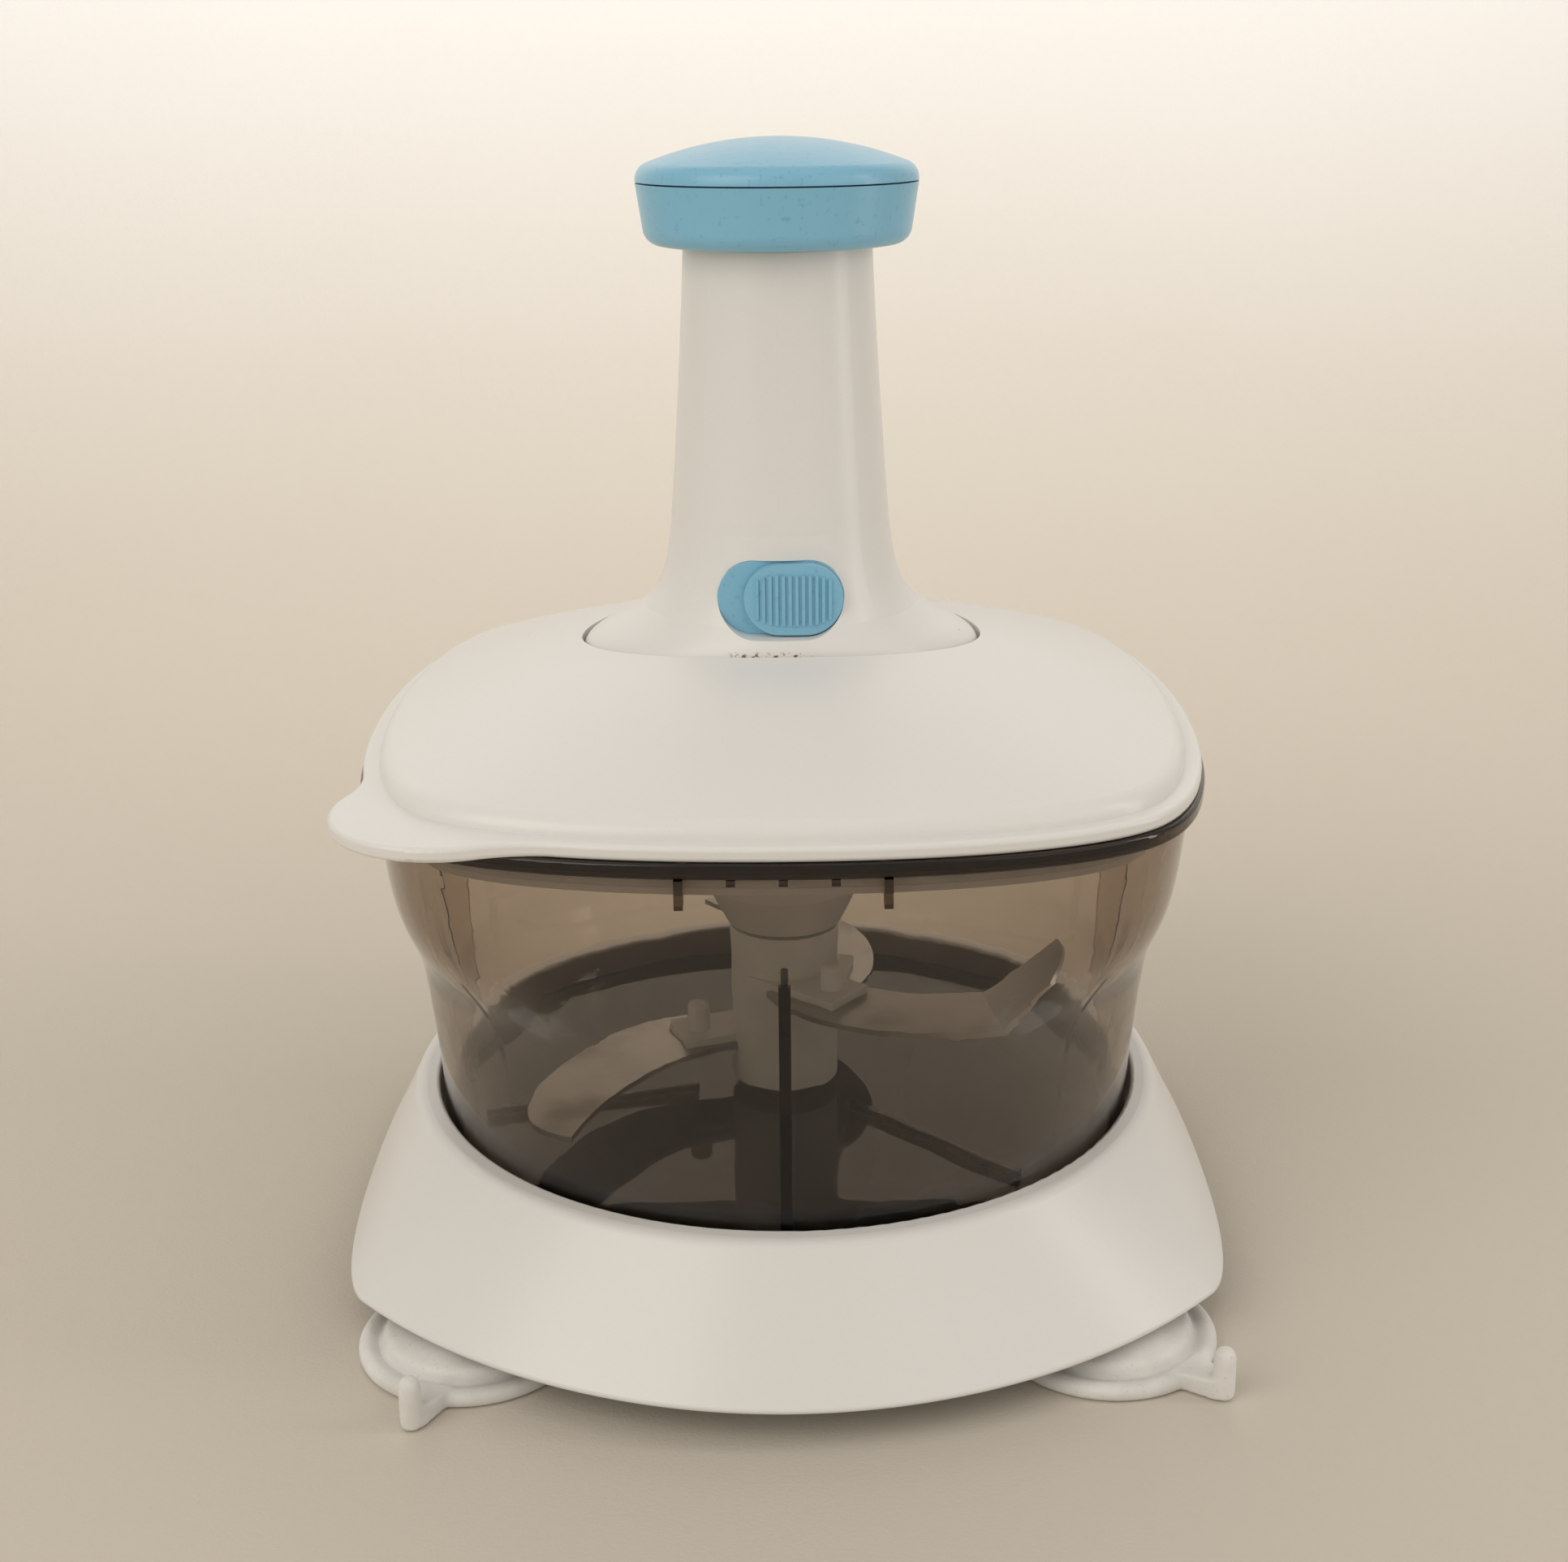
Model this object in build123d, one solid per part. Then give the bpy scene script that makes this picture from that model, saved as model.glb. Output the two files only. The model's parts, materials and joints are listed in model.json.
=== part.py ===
from build123d import *
import math
import os

# Hand-press food chopper: a knob on a column is pushed down, a nut on its tube turns a
# grooved spindle, and the spindle turns three sickle blades in a smoked bowl.
# Millimetres, +Z up, origin on the table under the column's axis, front towards -Y.

# Fits shared by all pieces
RUNNING_FIT = 0.05
SLIDE_GAP = 0.3
SEAT_GAP = 0.3
LOOSE_GAP = 1.0
OVERRUN = 1.0

# Base
BASE_HALF_X = 93.0
BASE_HALF_Y = 98.8
BASE_LIFT = 8.0
BASE_HEIGHT = 25.8
SKIRT_WALL = 2.4
SKIRT_ROUND = 0.8
BOWL_RADIUS = 75.0
LIP_WIDTH = 4.6
LIP_ROUND = 0.9
LIP_SHOULDER_ROUND = 3.0
RECESS_DEPTH = 8.3
DECK_THICKNESS = 2.6

# Suction cups
CUP_INSET_X = 23.49
CUP_RADIUS = 22.5
CUP_RIM_WIDTH = 3.0
CUP_RIM_HEIGHT = 1.8
CUP_STEP_WIDTH = 2.4
CUP_STEP_HEIGHT = 1.5
CUP_HOLLOW = 3.0
CUP_NECK_RADIUS = 8.0
CUP_NECK_HEIGHT = 3.5
CUP_TOP = 11.5
STEM_RADIUS = 4.0
STEM_HEAD_RADIUS = 5.2
STEM_HEAD_HEIGHT = 2.0
SOCKET_WEB = 2.4
SOCKET_RADIUS = 13.0
SOCKET_WALL = 2.4
TAB_REACH = 28.7
TAB_WIDTH = 7.0
TAB_THICKNESS = 2.4
TAB_LIFT = 0.3
PEG_RADIUS = 2.2
PEG_HEIGHT = 11.0
PEG_ROUND = 1.7
LEFT_TAB_ANGLE = 254.5
RIGHT_TAB_ANGLE = 314.0

# Bowl
BOWL_HALF = 82.6
BOWL_HEIGHT = 82.1
BOWL_WALL = 2.2
BOWL_FLOOR = 2.5
RIM_OVERHANG = 2.6
RIM_THICKNESS = 3.0
RIM_ROUND = 0.7
FIN_THICKNESS = 2.0
FIN_DEPTH = 3.2
FIN_HEIGHT = 56.0
FLOOR_RIB_WIDTH = 1.2
FLOOR_RIB_HEIGHT = 2.0
FLOOR_RIB_INNER = 20.0
FLOOR_RIB_OUTER = 66.0
FLOOR_RIB_COUNT = 3
FLOOR_RIB_ANGLE = -45.0
RIM_RIB_WIDTH = 1.6
RIM_RIB_LONG = 5.5
RIM_RIB_SHORT = 1.2
RIM_RIB_SPACING = 9.2
RIM_RIB_DEPTH = 2.2
PIVOT_BOSS_RADIUS = 6.0
PIVOT_BOSS_HEIGHT = 2.5
PIN_RADIUS = 2.5
PIN_HEIGHT = 14.0
PIN_ROUND = 1.5

# Blade assembly
HUB_RADIUS = 11.7
HUB_HEIGHT = 35.2
HUB_BORE_DEPTH = 16.0
SOCKET_DEPTH = 10.0
BLADE_LIFT = 7.2
BLADE_PITCH = 8.0
BLADE_CLEARANCE = 4.1
BLADE_THICKNESS = 1.2
BLADE_AZIMUTH = 200.0
BLADE_STEP = -120.0
BLADE_BENDS = (0.0, 0.0, 35.0)
BLADE_NAMES = ("blade_lower", "blade_middle", "blade_upper")
ARM_REACH = 23.0
ARM_WIDTH = 12.0
ARM_THICKNESS = 4.6
ARM_OFFSET = 6.0
ARM_PEG_RADIUS = 2.4
ARM_PEG_HEIGHT = 6.0

# Lid
LID_INSET = 0.7
FLANGE_THICKNESS = 2.9
FLANGE_ROUND = 0.9
FLANGE_WIDTH = 3.1
CROWN_RISE = 19.9
LID_WALL = 2.4
SKIRT_GAP = 1.8
SKIRT_RING = 2.0
SKIRT_DEPTH = 7.8
GASKET_WIDTH = 1.9
GASKET_HEIGHT = 3.0
GASKET_LIFT = 1.3
GASKET_SEAT = 0.8
PULL_TAB_PROUD = 11.8
PULL_TAB_RADIUS = 22.0
PULL_TAB_BLEND = 26.0
PAD_BORDER = 2.4
PAD_THICKNESS = 2.6
COVER_THICKNESS = 2.0
COVER_GAP = 0.4
COVER_SCREW_X = 45.0
FUNNEL_TOP_RADIUS = 24.0
FUNNEL_NECK_RADIUS = 17.0
FUNNEL_NECK_HEIGHT = 9.0
FUNNEL_END_RADIUS = 12.2
FUNNEL_WALL = 2.6

# Column
FOOT_HALF_X = 41.0
FOOT_HALF_Y = 29.2
FOOT_SINK = 5.6
SEAM_GAP = 0.4
FLARE_HEIGHT = 27.2
FLARE_TOP_RADIUS = 22.2
SHAFT_HEIGHT = 53.6
COLUMN_TOP_RADIUS = 18.7
BORE_RADIUS = 17.8
GUIDE_LENGTH = 6.6
COLUMN_SCREW_X = 29.0
COLUMN_SCREW_Y = 8.0

# Lock switch on the column's front
LOCK_LIFT = 15.2
LOCK_WIDTH = 25.0
LOCK_HEIGHT = 14.8
LOCK_TRAVEL = 5.0
LOCK_SEAT = 20.6
LOCK_PLATE = 1.6
LOCK_FIT = 0.1
PAD_FRONT = 25.0
PAD_CROWN_RADIUS = 30.0
PAD_MARGIN = 0.4
RIB_COUNT = 12
RIB_PITCH = 1.3
RIB_WIDTH = 0.6
RIB_PROUD = 0.45
LOCK_STEM_WIDTH = 4.0
LOCK_STEM_HEIGHT = 2.4
CATCH_WIDTH = 3.0
CATCH_HEIGHT = 2.4
CATCH_REACH = 15.7

# Plunger
STROKE = 55.0
TUBE_RADIUS = 15.0
TUBE_WALL = 1.8
SPRING_ROOM = 14.2
TUBE_FLANGE_RADIUS = 17.5
TUBE_FLANGE_HEIGHT = 3.0
TUBE_CAP = 2.0
FLANGE_NOTCH = 6.0
NUT_HEIGHT = 8.0
NUT_GAP = 0.4
LUG_RADIUS = 1.2
LUG_DEPTH = 1.0
KNOB_UNDER_RADIUS = 26.0
KNOB_SEAM_RADIUS = 27.7
KNOB_BODY_HEIGHT = 12.0
KNOB_CAP_HEIGHT = 8.2
CAP_SIDE_HEIGHT = 2.6
CAP_SHOULDER_ROUND = 3.4
KNOB_WALL = 2.2
KNOB_EDGE_ROUND = 3.4
KNOB_REST_GAP = 0.4
KNOB_SEAM = 0.3
CAP_LIP_HEIGHT = 2.2
CAP_LIP_WIDTH = 1.6
KNOB_SCREW_RADIUS = 9.0

# Spindle and drive
SPINDLE_RADIUS = 6.0
SHAFT_RADIUS = 4.0
LEAD = 60.0
GROOVE_RADIUS = 2.0
GROOVE_STARTS = 2
SPINDLE_TAIL = 5.0
BUSH_RADIUS = 9.0
BUSH_FLANGE_RADIUS = 12.0
BUSH_FLANGE = 2.2
CLIP_RADIUS = 7.0
CLIP_THICKNESS = 1.0
DOG_SIDE = 10.4
DOG_RADIUS = 7.0
DOG_GRIP = 10.0

# Return spring
SPRING_RADIUS = 13.8
SPRING_WIRE = 1.2
SPRING_TURNS = 6

# Screws
SCREW_RADIUS = 1.5
SCREW_LENGTH = 8.0
SCREW_HEAD_RADIUS = 2.8
SCREW_HEAD = 1.8

# Heights and widths that follow from the sizes above
BASE_TOP = BASE_LIFT + BASE_HEIGHT
DECK_TOP = BASE_TOP - RECESS_DEPTH
OPENING_RADIUS = BOWL_RADIUS + LOOSE_GAP
LIP_RADIUS = OPENING_RADIUS + LIP_WIDTH
BOWL_FLOOR_TOP = DECK_TOP + BOWL_FLOOR
FIN_REACH = BOWL_RADIUS - BOWL_WALL - FIN_DEPTH
BLADE_REACH = FIN_REACH - BLADE_CLEARANCE
RIM_HALF = BOWL_HALF + RIM_OVERHANG
LID_HALF = RIM_HALF - LID_INSET
STEP_HALF = LID_HALF - FLANGE_WIDTH
SKIRT_HALF = BOWL_HALF - BOWL_WALL - SKIRT_GAP
RIM_BOTTOM = DECK_TOP + BOWL_HEIGHT
RIM_TOP = RIM_BOTTOM + RIM_THICKNESS
HUB_BOTTOM = BOWL_FLOOR_TOP + PIVOT_BOSS_HEIGHT + SEAT_GAP
HUB_TOP = HUB_BOTTOM + HUB_HEIGHT
BLADE_LEVEL = HUB_BOTTOM + BLADE_LIFT
FLANGE_TOP = RIM_TOP + FLANGE_THICKNESS
CROWN_TOP = FLANGE_TOP + CROWN_RISE
FOOT_SEAT = CROWN_TOP - FOOT_SINK
TUBE_BOTTOM = FOOT_SEAT + SPRING_ROOM
LOCK_LEVEL = FOOT_SEAT + LOCK_LIFT
FLARE_TOP = FOOT_SEAT + FLARE_HEIGHT
COLUMN_TOP = FLARE_TOP + SHAFT_HEIGHT
COVER_TOP = RIM_TOP + FLANGE_THICKNESS / 2
COVER_BOTTOM = COVER_TOP - COVER_THICKNESS
GUIDE_BOTTOM = COLUMN_TOP - GUIDE_LENGTH
KNOB_BOTTOM = COLUMN_TOP + KNOB_REST_GAP
KNOB_SEAM_LEVEL = KNOB_BOTTOM + KNOB_BODY_HEIGHT
KNOB_TOP = KNOB_SEAM_LEVEL + KNOB_CAP_HEIGHT
TUBE_TOP = KNOB_BOTTOM + KNOB_WALL * 2
LUG_LEVEL = TUBE_BOTTOM + NUT_HEIGHT / 2
SHOULDER_LEVEL = FOOT_SEAT + BUSH_FLANGE + SEAT_GAP
SPINDLE_TOP = LUG_LEVEL + STROKE + SPINDLE_TAIL
DOG_BOTTOM = HUB_TOP - SOCKET_DEPTH + SEAT_GAP
FUNNEL_END = HUB_TOP + LOOSE_GAP
FUNNEL_NECK_LEVEL = FUNNEL_END + FUNNEL_NECK_HEIGHT

# Corner fullness of the rounded squares: a round section has the root of one half
ROUND_SHARE = math.sqrt(0.5)
BASE_CORNER_X_SHARE = 0.93
BASE_CORNER_Y_SHARE = 0.6
CUP_PLACE_SHARE = 0.6225
SQUARE_CORNER_SHARE = 0.809
HANDLE_SHARE = 0.64
CUP_X = BASE_HALF_X * BASE_CORNER_X_SHARE - CUP_INSET_X
CUP_Y = BASE_HALF_Y * CUP_PLACE_SHARE

# Profiles as shares: height, then how far each size has gone from its end to its start value
CAVITY_TOP_SHARE = 0.75
BOWL_PROFILE_SHARES = (
    (0.0, 0.0, 0.0),
    (0.125, 0.03, 0.0),
    (0.25, 0.12, 0.0),
    (0.375, 0.25, 0.02),
    (0.5, 0.4, 0.14),
    (0.625, 0.58, 0.54),
    (0.75, 0.76, 0.91),
    (0.875, 0.9, 1.0),
    (1.0, 1.0, 1.0),
)
STEP_PROFILE_SHARES = ((0.0, 1.0, 1.0), (0.085, 0.9945, 1.0), (0.17, 0.9705, 1.0))
DOME_PROFILE_SHARES = (
    (0.17, 0.9705, 1.0),
    (0.337, 0.866, 0.9),
    (0.4975, 0.762, 0.72),
    (0.653, 0.656, 0.5),
    (0.789, 0.55, 0.28),
    (0.9, 0.441, 0.1),
    (1.0, 0.332, 0.0),
)
FLARE_PROFILE_SHARES = (
    (0.0, 1.0, 1.0),
    (0.132, 0.888, 0.993),
    (0.206, 0.691, 0.943),
    (0.276, 0.495, 0.829),
    (0.36, 0.319, 0.643),
    (0.485, 0.181, 0.429),
    (0.647, 0.085, 0.229),
    (0.816, 0.035, 0.093),
    (1.0, 0.0, 0.0),
)
SHAFT_PROFILE_SHARES = ((0.0, 1.0), (1 / 3, 0.614), (2 / 3, 0.271), (1.0, 0.0))

# Longest rib of the thumb pad as a share of the pocket's height
RIB_LONG_SHARE = 0.68

# Blade outline as shares of its reach, root to tip along the convex edge and back
BLADE_CONVEX_SHARES = ((0.09, -0.2), (0.39, -0.25), (0.69, -0.118), (0.924, 0.194))
BLADE_TIP_SHARES = ((0.945, 0.325), (0.857, 0.461))
BLADE_CONCAVE_SHARES = ((0.71, 0.276), (0.408, 0.06), (0.09, 0.035))
BLADE_FOLD_SHARES = (0.76, 0.14)
BLADE_FOLD_ANGLE = 49.0


def disc(radius, bottom, top, x=0, y=0):
    """A plain upright cylinder."""
    shape = Cylinder(radius, top - bottom, align=(Align.CENTER, Align.CENTER, Align.MIN))
    return Pos(x, y, bottom) * shape


def block(x_low, x_high, y_low, y_high, z_low, z_high):
    """A plain box between two corners."""
    size = Box(x_high - x_low, y_high - y_low, z_high - z_low, align=(Align.MIN,) * 3)
    return Pos(x_low, y_low, z_low) * size


def outline(level, half_x, half_y, corner_x_share, corner_y_share):
    """A closed rounded square or oval of eight smooth curves at one height."""
    side = Vector(half_x, 0, 0)
    front = Vector(0, half_y, 0)
    knee_share = corner_x_share + corner_y_share - 1
    edges = []
    for sign in (1, -1):
        for along_x in (1, -1):
            x_end = side * along_x * sign
            y_end = front * sign
            middle = x_end * corner_x_share + y_end * corner_y_share
            x_knee = x_end + y_end * knee_share
            y_knee = y_end + x_end * knee_share
            curves = [(x_end, x_knee, middle), (middle, y_knee, y_end)]
            if along_x < 0:
                curves = [(q, knee, p) for p, knee, q in reversed(curves)]
            for p, knee, q in curves:
                handles = (p + (knee - p) * HANDLE_SHARE, q + (knee - q) * HANDLE_SHARE)
                points = [point + Vector(0, 0, level) for point in (p, *handles, q)]
                edges.append(Bezier(*points))
    return Wire(edges)


def square_outline(level, half, corner_share):
    """A rounded square with equal sides."""
    return outline(level, half, half, corner_share, corner_share)


def prism(wire, height):
    """An upright prism on a closed outline."""
    return Solid.extrude(Face(wire), Vector(0, 0, height))


def square_prism(half, bottom, top):
    """A prism with the rounded-square outline of the bowl and lid."""
    return prism(square_outline(bottom, half, SQUARE_CORNER_SHARE), top - bottom)


def rounded_plate(plate, radius):
    """A flat plate with its upper and lower edges rounded."""
    levels = plate.edges().group_by(Axis.Z)
    return fillet(levels[0] + levels[-1], radius)


def base_outline(height_share, inset):
    """One level of the base: round at the lip, with straight sides and bowed ends at the skirt's edge."""
    spread = 1 - height_share
    level = BASE_LIFT + height_share * BASE_HEIGHT
    half_x = LIP_RADIUS + spread * (BASE_HALF_X - LIP_RADIUS) - inset
    half_y = LIP_RADIUS + spread * (BASE_HALF_Y - LIP_RADIUS) - inset
    corner_x = ROUND_SHARE + spread * (BASE_CORNER_X_SHARE - ROUND_SHARE)
    corner_y = ROUND_SHARE + spread * (BASE_CORNER_Y_SHARE - ROUND_SHARE)
    return outline(level, half_x, half_y, corner_x, corner_y)


def base_shell():
    """Skirted base with the round recess that the bowl stands in and four cup sockets."""
    outer = Solid.make_loft([base_outline(0, 0), base_outline(1, 0)])
    outer = fillet(outer.edges().group_by(Axis.Z)[0], SKIRT_ROUND)
    outer = fillet(outer.edges().group_by(Axis.Z)[-1], LIP_SHOULDER_ROUND)
    cavity = Solid.make_loft([base_outline(0, SKIRT_WALL), base_outline(CAVITY_TOP_SHARE, SKIRT_WALL)])
    collar = disc(LIP_RADIUS, DECK_TOP - DECK_THICKNESS, BASE_TOP)
    hollow = cavity - collar
    shell = outer - hollow
    for x, y, angle in cup_places().values():
        post = disc(SOCKET_RADIUS, CUP_TOP, BASE_TOP, x, y) & outer
        room = disc(SOCKET_RADIUS - SOCKET_WALL, CUP_TOP + SOCKET_WEB, BASE_TOP, x, y) & hollow
        bore = disc(STEM_RADIUS, CUP_TOP - OVERRUN, CUP_TOP + SOCKET_WEB + OVERRUN, x, y)
        shell = shell + post - room - bore
    shell = shell - disc(OPENING_RADIUS, DECK_TOP, BASE_TOP + OVERRUN)
    lip = shell.edges().filter_by(GeomType.CIRCLE).group_by(Axis.Z)[-1]
    return fillet(lip, LIP_ROUND)


def cup_places():
    """Place and tab direction of each suction cup; the rear pair is the front pair turned round."""
    return {
        "front_left": (-CUP_X, -CUP_Y, LEFT_TAB_ANGLE),
        "front_right": (CUP_X, -CUP_Y, RIGHT_TAB_ANGLE),
        "rear_right": (CUP_X, CUP_Y, LEFT_TAB_ANGLE + 180),
        "rear_left": (-CUP_X, CUP_Y, RIGHT_TAB_ANGLE + 180),
    }


def suction_cup(name):
    """Soft suction cup with a stepped rim, a button stem and a pull tab with its peg."""
    step_radius = CUP_RADIUS - CUP_STEP_WIDTH
    step_top = CUP_RIM_HEIGHT + CUP_STEP_HEIGHT
    stem_radius = STEM_RADIUS - RUNNING_FIT
    head_bottom = CUP_TOP + SOCKET_WEB + SEAT_GAP
    head_top = head_bottom + STEM_HEAD_HEIGHT
    rim_inner = CUP_RADIUS - CUP_RIM_WIDTH
    profile = Polyline(
        (rim_inner, 0),
        (CUP_RADIUS, 0),
        (CUP_RADIUS, CUP_RIM_HEIGHT),
        (step_radius, CUP_RIM_HEIGHT),
        (step_radius - CUP_STEP_HEIGHT / 2, step_top),
        (CUP_NECK_RADIUS, CUP_TOP - CUP_NECK_HEIGHT),
        (CUP_NECK_RADIUS, CUP_TOP),
        (stem_radius, CUP_TOP),
        (stem_radius, head_bottom),
        (STEM_HEAD_RADIUS, head_bottom),
        (STEM_HEAD_RADIUS, (head_bottom + head_top) / 2),
        (stem_radius, head_top),
        (0, head_top),
        (0, CUP_HOLLOW),
    )
    hollow = TangentArc((0, CUP_HOLLOW), (rim_inner, 0), tangent=(1, 0))
    face = make_face(Plane.XZ * (profile + hollow))
    cup = revolve(face, Axis.Z)
    half = TAB_WIDTH / 2
    tab = block(rim_inner, TAB_REACH, -half, half, TAB_LIFT, TAB_LIFT + TAB_THICKNESS)
    peg = disc(PEG_RADIUS, TAB_LIFT, PEG_HEIGHT, TAB_REACH)
    peg = fillet(peg.edges().group_by(Axis.Z)[-1], PEG_ROUND)
    x, y, angle = cup_places()[name]
    return Pos(x, y, 0) * Rot(0, 0, angle) * (cup + tab + peg)


def bowl_outline(row, inset, level=None):
    """One level of the bowl: round below and rounded square above."""
    height_share, spread_share, corner_spread_share = row
    half = BOWL_RADIUS + spread_share * (BOWL_HALF - BOWL_RADIUS) - inset
    corner = ROUND_SHARE + corner_spread_share * (SQUARE_CORNER_SHARE - ROUND_SHARE)
    if level is None:
        level = DECK_TOP + height_share * BOWL_HEIGHT
    return square_outline(level, half, corner)


def bowl():
    """Smoked bowl with its rim, wall fins, floor ribs and the boss of the pivot pin."""
    rows = BOWL_PROFILE_SHARES
    outer = Solid.make_loft([bowl_outline(row, 0) for row in rows])
    inner_wires = [bowl_outline(rows[0], BOWL_WALL, BOWL_FLOOR_TOP)]
    inner_wires += [bowl_outline(row, BOWL_WALL) for row in rows[1:]]
    inner = Solid.make_loft(inner_wires)
    mouth = prism(inner_wires[-1], RIM_THICKNESS + OVERRUN)
    rim = rounded_plate(square_prism(RIM_HALF, RIM_BOTTOM, RIM_TOP), RIM_ROUND)
    shell = outer - inner + (rim - mouth)
    boss = disc(PIVOT_BOSS_RADIUS, DECK_TOP, BOWL_FLOOR_TOP + PIVOT_BOSS_HEIGHT)
    shell = shell + boss
    for turn in range(4):
        shell = shell + (wall_fin(turn) & outer)
    for index in range(FLOOR_RIB_COUNT):
        shell = shell + floor_rib(FLOOR_RIB_ANGLE + 360 / FLOOR_RIB_COUNT * index)
    for rib in rim_ribs():
        shell = shell + rib
    return shell - pivot_pin()


def wall_fin(turn):
    """Upright fin with a rounded top at the middle of one side wall."""
    half = FIN_THICKNESS / 2
    top = BOWL_FLOOR_TOP + FIN_HEIGHT
    length = BOWL_RADIUS + BOWL_HALF - FIN_REACH
    upright = block(FIN_REACH, FIN_REACH + length, -half, half, DECK_TOP, top)
    rod = Cylinder(half, length, align=(Align.CENTER, Align.CENTER, Align.MIN))
    head = Pos(FIN_REACH, 0, top) * Rot(0, 90, 0) * rod
    return Rot(0, 0, 90 * turn) * (upright + head)


def floor_rib(direction):
    """Low radial rib on the bowl's floor."""
    half = FLOOR_RIB_WIDTH / 2
    top = BOWL_FLOOR_TOP + FLOOR_RIB_HEIGHT
    rib = block(FLOOR_RIB_INNER, FLOOR_RIB_OUTER, -half, half, DECK_TOP, top)
    return Rot(0, 0, direction) * rib


def rim_ribs():
    """Two long and three short ribs under the rim at the front."""
    ribs = []
    for index in range(-2, 3):
        drop = RIM_RIB_LONG if abs(index) == 2 else RIM_RIB_SHORT
        x = index * RIM_RIB_SPACING
        half = RIM_RIB_WIDTH / 2
        front = -BOWL_HALF - RIM_RIB_DEPTH
        back = -BOWL_HALF + BOWL_WALL
        ribs.append(block(x - half, x + half, front, back, RIM_BOTTOM - drop, RIM_BOTTOM))
    return ribs


def pivot_pin():
    """Steel pin in the bowl's floor that the blades turn on."""
    pin = disc(PIN_RADIUS, DECK_TOP + BOWL_FLOOR / 2, HUB_BOTTOM + PIN_HEIGHT)
    return fillet(pin.edges().group_by(Axis.Z)[-1], PIN_ROUND)


def blade_plate():
    """Flat sickle plate at the lowest level, pointing along +X."""
    def scaled(shares):
        return [(u * BLADE_REACH, v * BLADE_REACH) for u, v in shares]
    convex = scaled(BLADE_CONVEX_SHARES)
    tip = scaled(BLADE_TIP_SHARES)
    concave = scaled(BLADE_CONCAVE_SHARES)
    edges = [
        Spline(*convex),
        ThreePointArc(convex[-1], tip[0], tip[1]),
        Spline(tip[1], *concave),
        Line(concave[-1], convex[0]),
    ]
    face = make_face(edges)
    return Pos(0, 0, BLADE_LEVEL) * extrude(face, BLADE_THICKNESS)


def blade(index):
    """One steel blade at its level and turn, with its end folded up where it has a bend."""
    plate = blade_plate()
    fold_x, fold_y = (share * BLADE_REACH for share in BLADE_FOLD_SHARES)
    fold = Pos(fold_x, fold_y, BLADE_LEVEL) * Rot(0, 0, BLADE_FOLD_ANGLE)
    beyond = fold * Pos(BLADE_REACH, 0, 0) * Box(2 * BLADE_REACH, 2 * BLADE_REACH, BLADE_REACH)
    if BLADE_BENDS[index]:
        end = plate & beyond
        bent = fold * Rot(0, -BLADE_BENDS[index], 0) * fold.inverse() * end
        plate = (plate - beyond) + bent
    lift = Pos(0, 0, index * BLADE_PITCH)
    return lift * Rot(0, 0, BLADE_AZIMUTH + index * BLADE_STEP) * plate


def blade_hub():
    """Moulded hub with an arm and a peg for each blade and the drive socket in its top."""
    hub = disc(HUB_RADIUS, HUB_BOTTOM, HUB_TOP)
    for index in range(len(BLADE_NAMES)):
        hub = hub + blade_arm(index)
    hub = hub - disc(PIN_RADIUS + RUNNING_FIT, HUB_BOTTOM - OVERRUN, HUB_BOTTOM + HUB_BORE_DEPTH)
    side = DOG_SIDE / 2 + SLIDE_GAP
    hub = hub - block(-side, side, -side, side, HUB_TOP - SOCKET_DEPTH, HUB_TOP + OVERRUN)
    for index in range(len(BLADE_NAMES)):
        hub = hub - blade(index)
    return hub


def blade_arm(index):
    """Arm that holds one blade's root, with an upright peg through it."""
    low = BLADE_LEVEL + BLADE_THICKNESS / 2 - ARM_THICKNESS / 2
    half = ARM_WIDTH / 2
    arm = block(0, ARM_REACH, -ARM_OFFSET - half, half - ARM_OFFSET, low, low + ARM_THICKNESS)
    peg_x = ARM_REACH - 2 * ARM_PEG_RADIUS
    peg_top = low + ARM_THICKNESS + ARM_PEG_HEIGHT
    peg = disc(ARM_PEG_RADIUS, low, peg_top, peg_x, -ARM_OFFSET)
    peg = fillet(peg.edges().group_by(Axis.Z)[-1], ARM_PEG_RADIUS / 2)
    lift = Pos(0, 0, index * BLADE_PITCH)
    return lift * Rot(0, 0, BLADE_AZIMUTH + index * BLADE_STEP) * (arm + peg)


def crown_outline(row, inset=0, drop=0):
    """One level of the lid's crown, from the step above the flange to the column's foot."""
    height_share, half_share, corner_spread_share = row
    corner = ROUND_SHARE + corner_spread_share * (SQUARE_CORNER_SHARE - ROUND_SHARE)
    level = FLANGE_TOP + height_share * CROWN_RISE - drop
    return square_outline(level, half_share * STEP_HALF - inset, corner)


def crown_outer():
    """Outside form of the lid above its flange: a rounded step and a low dome."""
    step = Solid.make_loft([crown_outline(row) for row in STEP_PROFILE_SHARES])
    dome = Solid.make_loft([crown_outline(row) for row in DOME_PROFILE_SHARES])
    return step + dome


def flange():
    """Edge plate of the lid with the pull tab blended into its front left corner."""
    plate = square_prism(LID_HALF, RIM_TOP, FLANGE_TOP)
    corner = LID_HALF * SQUARE_CORNER_SHARE
    place = -corner - (PULL_TAB_PROUD - PULL_TAB_RADIUS) * ROUND_SHARE
    plate = plate + disc(PULL_TAB_RADIUS, RIM_TOP, FLANGE_TOP, place, place)
    upright = plate.edges().filter_by(lambda edge: edge.bounding_box().size.Z > FLANGE_THICKNESS / 2)
    junctions = upright.sort_by_distance((place, place, RIM_TOP))[:2]
    return rounded_plate(fillet(junctions, PULL_TAB_BLEND), FLANGE_ROUND)


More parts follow.
